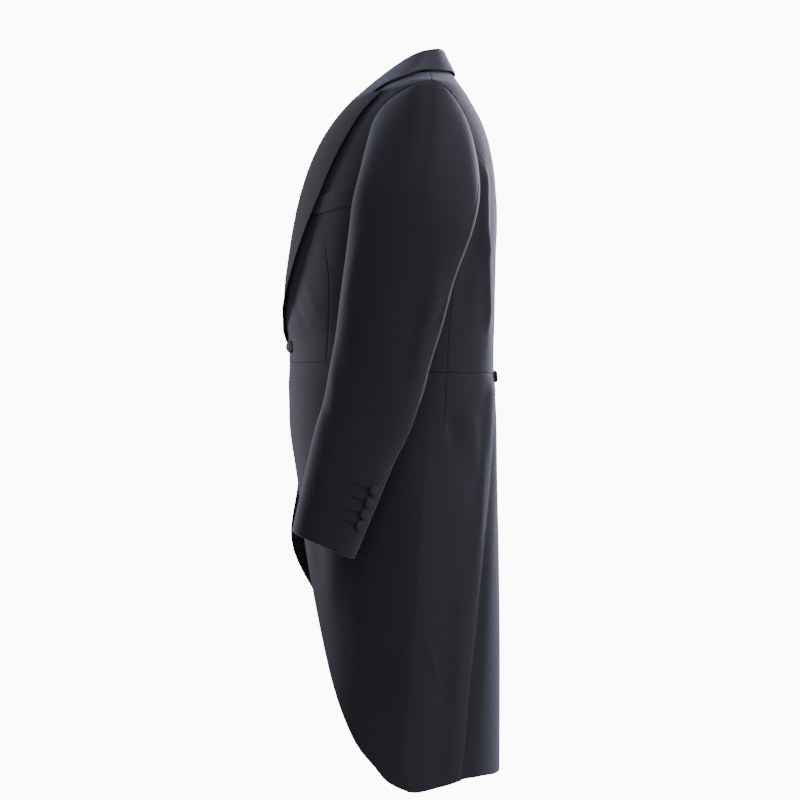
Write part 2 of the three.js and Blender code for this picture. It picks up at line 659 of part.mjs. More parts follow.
function addWelt() {
  const points = [];
  for (let i = 0; i <= 2; i += 1) {
    const row = [];
    for (let j = 0; j <= 10; j += 1) {
      const s = j / 10;
      const low = mix(WELT.low0, WELT.low1, s);
      const high = mix(WELT.high0, WELT.high1, s);
      row.push(cloth_at(1, mix(WELT.phi0, WELT.phi1, s), mix(low, high, i / 2), 0));
    }
    points.push(row);
  }
  const outer = points.map((r) => r.map((c) => c.p.clone().addScaledVector(c.n, 2)));
  const inner = points.map((r) => r.map((c) => c.p.clone().addScaledVector(c.n, 0.5)));
  addWall("breast_welt", outer, inner);
}

// A round button with a domed face, standing on the given point and facing the given way.
function addButton(name, at, facing, size, clear) {
  const r = size.dia / 2;
  const t = size.thick;
  const profile = [
    { r: 0, h: 0 },
    { r: r * 0.8, h: 0 },
    { r: r * 0.97, h: t * 0.25 },
    { r, h: t * 0.45 },
    { r: r * 0.93, h: t * 0.72 },
    { r: r * 0.65, h: t * 0.93 },
    { r: 0, h: t },
  ].map((q) => new THREE.Vector2(q.r, q.h));
  const turned = new THREE.LatheGeometry(profile, 14);
  const toward = new THREE.Quaternion().setFromUnitVectors(new THREE.Vector3(0, 1, 0), facing);
  const place = at.clone().addScaledVector(facing, clear);
  turned.applyQuaternion(toward);
  turned.translate(place.x, place.y, place.z);
  const kept = [];
  const position = turned.getAttribute("position");
  const found = new Map();
  const places = [];
  for (let k = 0; k < position.count; k += 1) {
    const p = new THREE.Vector3().fromBufferAttribute(position, k);
    const key = [p.x, p.y, p.z].map((v) => Math.round(v * 1e4)).join();
    if (!found.has(key)) {
      found.set(key, places.length / 3);
      places.push(p.x, p.y, p.z);
    }
    kept.push(found.get(key));
  }
  const index = [];
  const source = turned.getIndex().array;
  for (let k = 0; k < source.length; k += 3) {
    const [a, b, c] = [kept[source[k]], kept[source[k + 1]], kept[source[k + 2]]];
    if (a !== b && b !== c && a !== c) index.push(a, b, c);
  }
  addMesh(name, places, index, buttonStuff);
}

function addButtons(side) {
  const tag = sideName(side);
  const front = cloth_at(side, 9, BUTTON_AT);
  addButton("front_button_" + tag, front.p, front.n, COVERED_BUTTON, 0.5);
  const back = cloth_at(side, BACK_BUTTON.phi, BACK_BUTTON.z);
  addButton("back_button_" + tag, back.p, back.n, BACK_BUTTON, 0.85);
  const span = SLEEVE.length - 1;
  for (let k = 0; k < CUFF_BUTTON.count; k += 1) {
    const up = CUFF_BUTTON.first + k * CUFF_BUTTON.pitch;
    const at = span - up / 70.3;
    const p = sleevePoint(side, at, CUFF_BUTTON.round);
    const along = sleevePoint(side, at - 0.1, CUFF_BUTTON.round).sub(p);
    const across = sleevePoint(side, at, CUFF_BUTTON.round + 3).sub(p);
    const n = along.cross(across).normalize();
    if (n.x * side < 0) n.negate();
    addButton("cuff_button_" + (k + 1) + "_" + tag, p, n, CUFF_BUTTON, 0.4);
  }
}

for (const side of [1, -1]) {
  addForepart(side);
  addSideBody(side);
  addBack(side);
  addSkirt(side);
  addSleeve(side);
  addLapel(side);
  addButtons(side);
}
addCollar();
addWelt();

export default coat;
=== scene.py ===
import math

import bpy
import numpy as np
from mathutils import Matrix, Vector


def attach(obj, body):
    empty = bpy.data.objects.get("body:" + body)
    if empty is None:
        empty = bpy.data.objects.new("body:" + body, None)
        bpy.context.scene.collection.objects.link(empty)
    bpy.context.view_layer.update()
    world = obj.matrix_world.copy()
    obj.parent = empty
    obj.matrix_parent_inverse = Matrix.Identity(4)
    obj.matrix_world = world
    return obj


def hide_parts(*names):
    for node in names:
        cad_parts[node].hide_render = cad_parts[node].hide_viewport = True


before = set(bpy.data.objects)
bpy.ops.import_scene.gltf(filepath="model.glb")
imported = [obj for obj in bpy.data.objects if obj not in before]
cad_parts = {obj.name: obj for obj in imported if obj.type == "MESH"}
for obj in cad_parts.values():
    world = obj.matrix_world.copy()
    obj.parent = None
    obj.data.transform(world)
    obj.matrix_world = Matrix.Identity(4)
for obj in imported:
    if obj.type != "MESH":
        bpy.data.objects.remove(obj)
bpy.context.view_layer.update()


def place_new(name, data):
    made = bpy.data.objects.new(name, data)
    bpy.context.collection.objects.link(made)
    return made


# The camera is level with the coat's waist, 3.2 m to the wearer's left, and sees the coat square on
# from that side through a long lens.
camera_data = bpy.data.cameras.new("side camera")
camera_data.sensor_width = 36
camera_data.lens = 98.63
camera = place_new("side camera", camera_data)
camera.location = (3.2, -0.068, -0.482)
camera.rotation_euler = (math.radians(90), 0, math.radians(90))
bpy.context.scene.camera = camera

# The form that the coat is cut to: level sections of a worn coat, in millimetres above the hem.
# An angle of 0 is the middle of the front, 90 is the side and 180 is the middle of the back. The
# nape, where the wearer carries the coat, is the origin of the finished model.
NAPE = np.array([0.0, 68.0, 1022.0])
DEGREE = math.pi / 180
CLOTH = 2.0
MM_A_DEGREE = 2.9
NECK_SIDE, NECK_TOP = 1012.4, 1022
LEFT, RIGHT = 1, -1
SIDE_NAME = {LEFT: "left", RIGHT: "right"}


def table(columns, rows):
    return dict(zip(columns.split(), np.array(rows, float).T))


def line(x, y):
    """A smooth line through the points that does not overshoot them."""
    x, y = np.asarray(x, float), np.asarray(y, float)
    step = np.diff(x)
    slope = np.diff(y) / step
    m = np.empty_like(y)
    m[0], m[-1] = slope[0], slope[-1]
    a, b = slope[:-1], slope[1:]
    w1 = 2 * step[1:] + step[:-1]
    w2 = step[1:] + 2 * step[:-1]
    with np.errstate(divide="ignore", invalid="ignore"):
        m[1:-1] = np.where(a * b > 0, (w1 + w2) / (w1 / a + w2 / b), 0)

    def at(t):
        t = np.clip(np.asarray(t, float), x[0], x[-1])
        i = np.clip(np.searchsorted(x, t, side="right") - 1, 0, len(x) - 2)
        h = step[i]
        s = (t - x[i]) / h
        r = 1 - s
        ends = (1 + 2 * s) * r * r * y[i] + s * s * (3 - 2 * s) * y[i + 1]
        return ends + s * r * r * h * m[i] - s * s * r * h * m[i + 1]

    return at


def ease(t):
    s = np.clip(t, 0, 1)
    return s * s * (3 - 2 * s)


def mix(a, b, t):
    return a + (b - a) * t


def unit(v):
    return v / np.maximum(np.linalg.norm(v, axis=-1, keepdims=True), 1e-9)


def bell(x, wide):
    return np.exp(-((x / wide) ** 2))


FORM = table(
    "z half front back mid n_front n_back",
    [
        (0, 194, -150, 145.5, 0, 2.6, 1.75),
        (150, 194, -150, 146, 0, 2.6, 1.85),
        (300, 192, -152, 144.5, 0, 2.6, 2),
        (420, 186, -158, 142, 0, 2.45, 2.1),
        (500, 172, -164, 141, 0, 2.2, 2.2),
        (560, 160, -164, 138.5, 0, 1.9, 2.25),
        (594, 156, -161.5, 136.5, 0, 1.75, 2.25),
        (625, 156, -163, 136.8, 2, 1.75, 2.25),
        (650, 158, -168, 137.2, 4, 1.8, 2.3),
        (700, 166, -166, 138.5, 8, 1.9, 2.35),
        (750, 177, -160, 139.5, 12, 1.98, 2.4),
        (800, 187, -152, 140.2, 17, 2.04, 2.5),
        (850, 194, -140, 138.5, 23, 2.03, 2.55),
        (900, 199, -121, 131.5, 30, 2, 2.4),
        (940, 206, -97, 119.5, 37, 1.9, 2.1),
        (958, 210, -82, 110, 41, 1.82, 1.95),
        (970, 210.5, -70, 103, 43, 1.78, 1.9),
        (976, 204.5, -63, 99.5, 43, 1.75, 1.88),
        (990, 155, -48, 91.5, 43, 1.75, 1.88),
        (1002, 111, -40, 84, 42, 1.8, 1.95),
        (1014, 68, -34, 76, 40, 2.1, 2),
        (1022, 50, -30, 69, 38, 2.1, 2),
    ],
)
form_at = {key: line(FORM["z"], FORM[key]) for key in FORM}

# Folds, each from one angle and height to another: how far they stand out, and their half width.
# The first nine are the large ones. The rest are finer creases, where the worn cloth eases.
FOLDS = table(
    "phi0 z0 phi1 z1 out wide",
    [
        (123, 885, 134, 735, 6, 12),
        (130, 790, 149, 635, 6, 13),
        (124, 860, 121.5, 640, -5, 18),
        (118, 548, 121, 470, -1.5, 10),
        (99, 470, 92, 20, 1.5, 26),
        (80, 400, 76, 60, -0.6, 26),
        (113, 420, 108, 20, -1.2, 24),
        (97, 210, 104, 165, 0.8, 10),
        (62, 500, 60, 230, 3, 20),
        (114.5, 526, 117, 466, -4.4, 9),
        (127, 540, 131, 430, 2.4, 14),
        (99.5, 210, 105.5, 168, 1.5, 4),
        (97.6, 208, 103.4, 162, -1.2, 4),
        (12, 655, 22, 622, 1.1, 6),
        (20, 690, 33, 640, -1.2, 8),
        (30, 720, 42, 655, 0.9, 7),
        (165, 700, 168, 622, 0.8, 8),
        (150, 760, 160, 690, -0.8, 7),
        (160, 845, 166, 760, 0.9, 9),
        (170, 560, 172, 430, -1.3, 8),
        (139, 500, 132, 330, 1.5, 9),
        (120, 330, 115, 90, 1.3, 9),
        (71, 330, 75, 120, 1.4, 11),
        (46, 470, 52, 300, -1.4, 10),
        (84, 905, 78, 850, -1.2, 8),
        (101, 770, 99, 700, 1.0, 8),
    ],
)


def plain(phi, z):
    """A point of the plain form on the wearer's left."""
    s, c = np.sin(phi * DEGREE), np.cos(phi * DEGREE)
    mid = form_at["mid"](z)
    ahead = c > 0
    deep = np.where(ahead, mid - form_at["front"](z), form_at["back"](z) - mid)
    n = np.where(ahead, form_at["n_front"](z), form_at["n_back"](z))
    r = (np.abs(s / form_at["half"](z)) ** n + np.abs(c / deep) ** n) ** (-1 / n)
    return np.stack([r * s, mid - r * c, z + 0 * r], -1)


def folds_at(phi, z):
    total = np.zeros(np.broadcast(phi, z).shape)
    for phi0, z0, phi1, z1, out, wide in zip(*FOLDS.values()):
        along = np.clip((z - z0) / (z1 - z0), 0, 1)
        beyond = np.maximum(np.maximum(z - z0, z1 - z), 0)
        across = (phi - mix(phi0, phi1, along)) * MM_A_DEGREE
        ends = ease(along / 0.3) * ease((1 - along) / 0.3 + 0.2)
        total += out * ends * np.exp(-((across / wide) ** 2) - (beyond / 30) ** 2)
    return total


# The right skirt hangs a little further forward than the left, most at this height.
SWING, SWING_AT, SWING_WIDE = 32, 322, 82


def cloth_at(side, phi, z, off=0.0):
    """Points of the cloth, moved out by off, and the outward directions there."""
    phi, z = np.broadcast_arrays(np.asarray(phi, float), np.asarray(z, float))
    p = plain(phi, z)
    across = plain(phi + 0.5, z) - plain(phi - 0.5, z)
    up = plain(phi, np.minimum(z + 1, NECK_TOP)) - plain(phi, np.maximum(z - 1, 0))
    n = unit(np.cross(across, up))
    outward = np.stack([p[..., 0], p[..., 1] - form_at["mid"](z), 0 * z], -1)
    n = n * np.where((n * outward).sum(-1, keepdims=True) < 0, -1, 1)
    p = p + n * (off + folds_at(phi, z))[..., None]
    if side == RIGHT:
        swing = SWING * bell(z - SWING_AT, SWING_WIDE) * ease((100 - phi) / 50)
        p = p - np.stack([0 * swing, swing, 0 * swing], -1)
        p = p * (-1, 1, 1)
        n = n * (-1, 1, 1)
    return p, n


BUTTON_AT = 617


def edge_phi(z):
    """The angle of the front edge: nearly meeting at the button, then out along the roll line."""
    z = np.asarray(z, float)
    rolled = np.minimum(2.6 + (z - BUTTON_AT) * 0.163, form_at["half"](z) * 0.985)
    want = np.where(z < BUTTON_AT, 2.6 + (BUTTON_AT - z) * 0.24, rolled)
    low, high = np.zeros_like(z), np.full_like(z, 90.0)
    for _ in range(40):
        middle = (low + high) / 2
        inside = plain(middle, z)[..., 0] < want
        low, high = np.where(inside, middle, low), np.where(inside, high, middle)
    return low


# The coating is a worsted twill of fine wool, piece-dyed near black and pressed: matt, with a faint
# cool sheen along folds and a steep diagonal rib. Its threads are 0.4 mm apart, and the rib is drawn
# at 1.6 mm, because finer would not show.
COATING = "#26262D"
COATING_SHEEN = "#C4C4EC"
RIB = 0.0016
RIB_STEEP = 63


def colour(code):
    channels = [int(code[i : i + 2], 16) / 255 for i in (1, 3, 5)]
    linear = [c / 12.92 if c <= 0.04045 else ((c + 0.055) / 1.055) ** 2.4 for c in channels]
    return (*linear, 1.0)


def add_node(tree, kind, settings=None, inputs=None):
    node = tree.nodes.new(kind)
    for key, value in (settings or {}).items():
        setattr(node, key, value)
    for key, value in (inputs or {}).items():
        if isinstance(value, bpy.types.NodeSocket):
            tree.links.new(value, node.inputs[key])
        else:
            node.inputs[key].default_value = value
    return node


def woven(name, shade, sheen, sheen_weight, roughness, rib, steep, relief, crossed=False):
    """Woven cloth: ribs along the piece's own grain, fine fibre, and soft unevenness of the dye."""
    material = bpy.data.materials.new(name)
    material.use_nodes = True
    tree = material.node_tree
    tree.nodes.clear()

    def add(kind, settings=None, inputs=None):
        return add_node(tree, "ShaderNode" + kind, settings, inputs).outputs[0]

    grain = add("UVMap", {"uv_map": "grain"})
    ribs = []
    for turn in (steep, steep - 90) if crossed else (steep,):
        turned = {"Vector": grain, "Rotation": (0, 0, math.radians(turn))}
        band = add_node(
            tree,
            "ShaderNodeTexWave",
            {"wave_type": "BANDS", "bands_direction": "X"},
            {
                "Vector": add("Mapping", None, turned),
                "Scale": math.pi / 10 / rib,
                "Distortion": 0.8,
            },
        )
        band.inputs["Detail Scale"].default_value = 3.0
        ribs.append(band.outputs["Fac"])
    height = ribs[0]
    if crossed:
        height = add("Math", {"operation": "MULTIPLY"}, {0: ribs[0], 1: ribs[1]})
    fibre = add("TexNoise", None, {"Vector": grain, "Scale": 1300.0, "Detail": 3.0})
    dye = add("TexNoise", None, {"Vector": grain, "Scale": 9.0, "Detail": 2.0})
    surface = add("Math", {"operation": "MULTIPLY_ADD"}, {0: fibre, 1: 0.8, 2: height})
    shown = add(
        "MapRange",
        None,
        {"Value": surface, "From Min": 0.2, "From Max": 1.6, "To Min": 0.76, "To Max": 1.24},
    )
    uneven = add(
        "MapRange",
        None,
        {"Value": dye, "From Min": 0.3, "From Max": 0.7, "To Min": 0.93, "To Max": 1.07},
    )
    # The tone attribute darkens seam lines and carries the painted shade that some pieces set.
    tone = add_node(tree, "ShaderNodeAttribute", {"attribute_name": "tone"}).outputs["Fac"]
    factor = add("Math", {"operation": "MULTIPLY"}, {0: shown, 1: uneven})
    factor = add("Math", {"operation": "MULTIPLY"}, {0: factor, 1: tone})
    tint = add("VectorMath", {"operation": "SCALE"}, {0: colour(shade)[:3], "Scale": factor})
    bump = add("Bump", None, {"Height": surface, "Strength": relief, "Distance": 0.00035})
    shader = add(
        "BsdfPrincipled",
        None,
        {
            "Base Color": tint,
            "Normal": bump,
            "Roughness": roughness,
            "Specular IOR Level": 0.28,
            "Sheen Weight": sheen_weight,
            "Sheen Roughness": 0.38,
            "Sheen Tint": colour(sheen),
        },
    )
    add_node(tree, "ShaderNodeOutputMaterial", None, {"Surface": shader})
    return material


coating = woven("worsted coating", COATING, COATING_SHEEN, 0.35, 0.82, RIB, RIB_STEEP, 0.45)

# The inside shows where the skirts part and at the cuffs: black viscose satin, smooth and a little
# glossy, with the coating turned in along every free edge.
LINING = "#0E0E11"
lining = woven("viscose lining", LINING, "#B8BAC8", 0.12, 0.42, 0.0009, 90, 0.12)

# A cut panel of the coat is laid on the form between its two side edges, row by row. Along a seam
# the cloth turns in by a millimetre, so that two panels meet in a fine groove. A free edge is
# rounded where the cloth is turned. The wall is as thick as coating, canvas and lining together.
NEAR_SEAM = np.array([0.0, 0.7, 1.5, 2.8])
SEAM_DEEP = 0.45
SEAM_WIDE = 1.1
SEAM_DARK = 0.8
TONES = (0.22, 1.4)
ROUNDED = 0.42
TURNED_IN = 38.0


def shares(width, count):
    """Places across a width, from 0 to 1, closer together beside the two ends."""
    width = np.atleast_1d(np.asarray(width, float))[:, None]
    near = NEAR_SEAM * np.minimum(1, 0.3 * width / NEAR_SEAM[-1]) / width
    inner = np.linspace(0, 1, count + 1)[1:-1]
    last = near[:, -1:]
    return np.hstack([near, last + (1 - 2 * last) * inner, 1 - near[:, ::-1]])


def lengths(points, axis):
    """Lengths along the cloth, from the first row or column of a grid of points."""
    steps = np.linalg.norm(np.diff(points, axis=axis), axis=-1)
    return np.concatenate([np.zeros_like(steps.take([0], axis)), steps.cumsum(axis)], axis)


def path(*tables):
    """An edge through tables of (angle, height), each smooth in itself, by place in the tables."""
    parts, start = [], 0
    for rows in tables:
        rows = np.asarray(rows, float)
        index = np.arange(len(rows)) + start
        parts.append((start, index[-1], line(index, rows[:, 0]), line(index, rows[:, 1])))
        start = index[-1]

    def at(t):
        t = np.asarray(t, float)
        phi, z = np.zeros_like(t), np.zeros_like(t)
        for a, b, phi_at, z_at in parts:
            here = (t >= a) & (t <= b)
            phi[here], z[here] = phi_at(t[here]), z_at(t[here])
        return phi, z

    at.last = start
    return at


def mark(mesh, flat, tone):
    """Gives a mesh its flat grain, in metres, and its tone: darker seam lines, and painted shade where a
    piece sets it.
    """
    which = np.zeros(len(mesh.loops), np.int32)
    mesh.loops.foreach_get("vertex_index", which)
    mesh.uv_layers.new(name="grain").data.foreach_set("uv", flat[which].astype(np.float32).ravel())
    mesh.attributes.new("tone", "FLOAT", "POINT").data.foreach_set("value", tone.astype(np.float32))


def wall(name, outer, inner, grain, tone, materials, inside=None, free="first last bottom top"):
    """Closes an outer and an inner grid into a wall with rounded free edges, as a new piece."""
    rows, cols = outer.shape[:2]
    i, j = np.meshgrid(np.arange(rows), np.arange(cols), indexing="ij")
    ids = i * cols + j
    loop = [(0, k) for k in range(cols)] + [(k, cols - 1) for k in range(1, rows)]
    loop += [(rows - 1, k) for k in range(cols - 2, -1, -1)]
    loop += [(k, 0) for k in range(rows - 2, 0, -1)]
    li, lj = np.array(loop).T
    edge_out, edge_in = outer[li, lj], inner[li, lj]
    along = np.roll(edge_out, -1, 0) - np.roll(edge_out, 1, 0)
    away = unit(np.cross(along, edge_out - edge_in))
    within = outer[np.clip(li, 1, rows - 2), np.clip(lj, 1, cols - 2)]
    away *= np.where((away * (edge_out - within)).sum(-1, keepdims=True) < 0, -1, 1)
    on_edge = {"bottom": li == 0, "top": li == rows - 1, "first": lj == 0, "last": lj == cols - 1}
    is_free = np.zeros(len(loop), bool)
    for word in free.split():
        is_free |= on_edge[word]
    thick = np.linalg.norm(edge_out - edge_in, axis=-1, keepdims=True)
    rim = (edge_out + edge_in) / 2 + away * thick * ROUNDED * is_free[:, None]
    points = np.vstack([outer.reshape(-1, 3), inner.reshape(-1, 3), rim])
    n = rows * cols
    a, b, c, d = ids[:-1, :-1], ids[:-1, 1:], ids[1:, 1:], ids[1:, :-1]
    quads = np.stack([a, b, c, d], -1).reshape(-1, 4)
    back = np.stack([a, d, c, b], -1).reshape(-1, 4) + n
    o = ids[li, lj]
    o2 = np.roll(o, -1)
    r = 2 * n + np.arange(len(loop))
    r2 = np.roll(r, -1)
    rims = np.stack([o2, o, r, r2], -1), np.stack([r2, r, o + n, o2 + n], -1)
    faces = np.vstack([quads, back, *rims])
    p = points[faces]
    volume = (p[:, 0] * np.cross(p[:, 1], p[:, 2]) + p[:, 0] * np.cross(p[:, 2], p[:, 3])).sum()
    if volume < 0:
        faces = faces[:, ::-1]
    mesh = bpy.data.meshes.new(name)
    mesh.from_pydata(((points - NAPE) / 1000).tolist(), [], faces.tolist())
    slots = np.zeros(len(faces), int)
    if inside is not None:
        slots[len(quads) : 2 * len(quads)] = inside.reshape(-1)
    mesh.polygons.foreach_set("material_index", slots.astype(np.int32))
    mesh.polygons.foreach_set("use_smooth", np.ones(len(faces), bool))
    for material in materials:
        mesh.materials.append(material)
    flat = grain.reshape(-1, 2) / 1000
    dark = tone.reshape(-1)
    mark(mesh, np.vstack([flat, flat, flat[o]]), np.concatenate([dark, np.ones(n), dark[o]]))
    mesh.update()
    return place_new(name, mesh)


def worn(piece, nodes):
    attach(piece, "root")
    if nodes:
        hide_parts(*nodes)
    return piece


def lay(side, first, last, counts, guides=(), heights=None, lift=None, seams=None, step=7.0):
    """A panel between its first and last edges, with seams and pressed lines worked into it."""
    index = np.arange(first.last + 1.0)
    spans = [np.linalg.norm(np.diff(plain(*edge(index)), axis=0), axis=1) for edge in (first, last)]
    along = np.concatenate([[0], np.cumsum(np.maximum(*spans))])
    from_bottom = shares(along[-1], round(along[-1] / step))[0] * along[-1]
    t = np.interp(from_bottom, along, index)
    phi0, z0 = first(t)
    phi1, z1 = last(t)
    stops = [phi0]
    for guide in guides:
        low, high = mix(phi0, phi1, guide.get("low", 0.3)), mix(phi0, phi1, guide.get("high", 0.8))
        phi = (phi0 + phi1) / 2
        for _ in range(8):
            z = mix(z0, z1, (phi - phi0) / (phi1 - phi0))
            phi = guide["at"](z)
            phi = np.clip(phi, np.minimum(low, high), np.maximum(low, high))
        stops.append(phi)
    stops.append(phi1)
    columns, places = [], [0]
    for k, count in enumerate(counts):
        a, b = stops[k], stops[k + 1]
        za = mix(z0, z1, (a - phi0) / (phi1 - phi0))
        zb = mix(z0, z1, (b - phi0) / (phi1 - phi0))
        width = np.linalg.norm(plain(b, zb) - plain(a, za), axis=-1)
        part = a[:, None] + (b - a)[:, None] * shares(width, count)
        columns.append(part if k == 0 else part[:, 1:])
        places.append(places[-1] + columns[-1].shape[1] - (1 if k == 0 else 0))
    phi = np.hstack(columns)
    s = (phi - phi0[:, None]) / (phi1 - phi0)[:, None]
    z = mix(z0[:, None], z1[:, None], s)
    if heights:
        z = heights(t[:, None], s, phi, z)
    off = lift(t[:, None], phi, z) if lift else np.zeros(phi.shape)
    base, n = cloth_at(side, phi, z, off)
    arc = lengths(base, 1)
    relief, pressed, tone = np.zeros(phi.shape), np.zeros(phi.shape), np.ones(phi.shape)
    borders = {
        "first": arc,
        "last": arc[:, -1:] - arc,
        "bottom": np.broadcast_to(from_bottom[:, None], phi.shape),
        "top": np.broadcast_to((along[-1] - from_bottom)[:, None], phi.shape),
    }
    for word, firm in (seams or {}).items():
        groove = bell(borders[word], SEAM_WIDE) * (firm(t)[:, None] if callable(firm) else firm)
        relief -= SEAM_DEEP * groove
        tone -= SEAM_DARK * groove
    for guide, place in zip(guides, places[1:]):
        away = arc - arc[:, place : place + 1]
        out, dark = guide["form"](away, z)
        pressed += out if guide.get("whole") else 0
        relief += 0 if guide.get("whole") else out
        # A guide's dark is a seam's dark line, or the painted shade beside the pleat.
        tone -= dark
    return {
        "outer": base + n * (relief + pressed)[..., None],
        "inner": base + n * (pressed - CLOTH)[..., None],
        "grain": np.stack([arc - arc[:, -1:], z], -1),
        "tone": np.clip(tone, *TONES),
        "borders": borders,
    }


def sewn_line(upper, lower):
    """A dart or seam that runs from one height down to another."""

    def form(away, z):
        groove = bell(away, SEAM_WIDE) * ease((upper - z) / 14) * ease((z - lower) / 14)
        pulled = bell(away, 9) * bell(z - upper, 16)
        return -SEAM_DEEP * groove - 0.5 * pulled, SEAM_DARK * groove

    return form


def inner_faces(laid, edges):
    """True where the inside is lining, beyond the coating turned in along the given edges."""
    far = np.full(laid["tone"].shape, 1e3)
    for word, turned in edges.items():
        far = np.where(laid["borders"][word] < turned, 0, far)
    return ((far[:-1, :-1] > 0) & (far[1:, 1:] > 0)).astype(int)


def panel(name, laid, turned_in, free):
    """A laid panel as a worn wall of coating and lining, in place of the solid of that name."""
    grids = laid["outer"], laid["inner"], laid["grain"], laid["tone"]
    lined = inner_faces(laid, turned_in)
    return worn(wall("cloth_" + name, *grids, [coating, lining], lined, free), [name])


# The seams of the body, by angle and height. A forepart runs from the front edge to the side seam and
# the armhole, a side body from there to the curved seam behind, and a back from there to the middle.
SIDE_SEAM = [(115, 578), (114.9, 606), (114.6, 634), (114.2, 662), (113.6, 692), (113, 722), (112.4, 754)]
BACK_SEAM = [(168, 578), (168, 606), (167.6, 634), (167, 662), (166, 692), (164, 722), (160.5, 754)]
BACK_SEAM += [(155, 787), (149, 812), (143, 833), (136, 851), (128, 867), (115.9, 887)]
ARMHOLE_FRONT = [
    (112, 785, 235),
    (106, 789, 258),
    (98, 794, 279),
    (89, 800, 300),
    (81, 808, 322),
    (75, 819, 340),
    (70.5, 838, 356),
    (68, 865, 370),
    (67.2, 895, 384),
    (67.5, 922, 398),
    (70, 943, 412),
    (75, 958, 425),
    (83, 971.5, 438),
    (90, 978.5, 451),
]
ARMHOLE_REAR = [
    (112, 785, 235),
    (115, 806, 210),
    (116.8, 830, 190),
    (117.5, 852, 172),
    (116.8, 870, 157),
    (115.5, 886, 149),
    (113, 906, 140),
    (109.5, 928, 129),
    (104, 948, 117),
    (97, 966, 104),
    (90, 978.5, 91),
]
SHOULDER = [(90, 984), (90, 991), (90, 998), (90, 1006), (90, 1012.4)]
front_hole = [row[:2] for row in ARMHOLE_FRONT]
rear_hole = [row[:2] for row in ARMHOLE_REAR]
SEAM_END = len(SIDE_SEAM)
ARMHOLE_END = SEAM_END + len(front_hole) - 1
WAIST_FRONT, WAIST_SIDE = 593.8, 578


def waist_seam(phi):
    return mix(WAIST_FRONT, WAIST_SIDE, ease((phi - 40) / 70))


# Forepart: the front of the body above the waist seam, in coating over canvas, with one dart from
# the breast to the waist. Its front edge is pressed, and above the button it turns over as the lapel.
FRONT_ROWS = [593.8, 608, 626, 650, 680, 711, 744, 774, 783, 792, 801, 811, 823, 839, 861, 886, 910]
FRONT_ROWS += [930, 946, 958, 968, 978, 988, 997, 1004.5, 1010.5]
FRONT_DART = table(
    "z phi",
    [(593.6, 46.5), (634.3, 47.6), (666.4, 49.5), (711, 49.9), (755.7, 48.4), (960, 62), (1012, 80)],
)
front_rows = line(np.arange(len(FRONT_ROWS)), FRONT_ROWS)


def front_edge(t):
    z = front_rows(t)
    return edge_phi(z), z


front_edge.last = len(FRONT_ROWS) - 1


def forepart_heights(t, s, phi, z):
    start = mix(WAIST_FRONT, WAIST_SIDE, s)
    return z + (waist_seam(phi) - start) * np.clip(1 - t, 0, 1)


def forepart_firm(t):
    """How deep the seam sinks: at the side, along the armhole and over the shoulder."""
    return np.where(t < SEAM_END, 1, np.where(t < ARMHOLE_END, 0.3, 0.7))


dart = {
    "at": line(FRONT_DART["z"], FRONT_DART["phi"]),
    "form": sewn_line(757, 560),
    "low": 0.3,
    "high": 0.7,
}
for side in (LEFT, RIGHT):
    laid = lay(
        side,
        front_edge,
        path(SIDE_SEAM + front_hole[:1], front_hole, front_hole[-1:] + SHOULDER),
        (22, 26),
        [dart],
        forepart_heights,
        seams={"bottom": 1, "last": forepart_firm},
        step=6.0,
    )
    piece = panel("forepart_" + SIDE_NAME[side], laid, {"first": 70}, "first top")

# Side body: the narrow panel under the arm, eased into the waist between two curved seams.
for side in (LEFT, RIGHT):
    laid = lay(
        side,
        path(SIDE_SEAM + rear_hole[:1], rear_hole[:6]),
        path(BACK_SEAM),
        (26,),
        seams={"bottom": 1, "last": 1, "first": lambda t: np.where(t < SEAM_END, 1, 0.3)},
        step=6.0,
    )
    piece = panel("side_body_" + SIDE_NAME[side], laid, {}, "top")

# Back: cut in one from the shoulder to the hem, narrow at the waist, with the tail under the side
# pleat and an open vent in the middle from just below the waist, lapped left over right.
PLEAT = [
    (168, 577.5),
    (163, 562),
    (158, 543),
    (154, 515),
    (150.5, 475),
    (146, 415),
    (138.5, 345),
    (132.5, 262),
    (129.5, 205),
    (126, 145),
    (124, 95),
    (122.8, 60),
    (121.8, 38),
    (121, 22),
    (120.5, 10.5),
]
HEM = [(93.2, 3.2), (96.5, 1.5), (100.5, 2.4), (106.5, 5), (117.7, 9.2), (126.7, 10.3)]
HEM += [(138.4, 9.2), (154.6, 5.2), (180, 0.6)]
hem_at = line(*np.array(HEM).T)
PLEAT_UNDERLAY = 4.5
VENT_TOP = 556
VENT_LAP = 6.5
LAP_DEEP = 2.9
# The second number is the strength of the painted shade on the tail beside the pleat's edge.
PLEAT_SUNK, PLEAT_PAINTED_SHADE = 4.5, 0.6
# Places up the back's outer edge where the tail, the curved seam and the armhole end.
TAIL_TO, CURVE_TO, HOLE_TO = 14, 26, 32
tail = [(phi - PLEAT_UNDERLAY * float(ease((548 - z) / 25)), z) for phi, z in PLEAT[:0:-1]]
tail[0] = (tail[0][0], float(hem_at(tail[0][0])))
back_side = path(
    tail + BACK_SEAM[:1], BACK_SEAM, BACK_SEAM[-1:] + rear_hole[6:], rear_hole[-1:] + SHOULDER
)


def back_centre(lap):
    def at(t):
        z = back_side(t)[1]
        phi = 180 + lap * ease((VENT_TOP - z) / 30)
        z = z + 9 * ease((z - 860) / 150) + 0.6 * np.clip(t - back_side.last + 1, 0, 1)
        z = z + (hem_at(180.0) - tail[0][1]) * np.clip(1 - t, 0, 1)
        return phi, z

    at.last = back_side.last
    return at


def under_lap(t, phi, z):
    """Sets the under side of the vent in by more than the thickness of the cloth."""
    return -LAP_DEEP * ease((phi - 177) / 2.5) * ease((VENT_TOP - z) / 30)


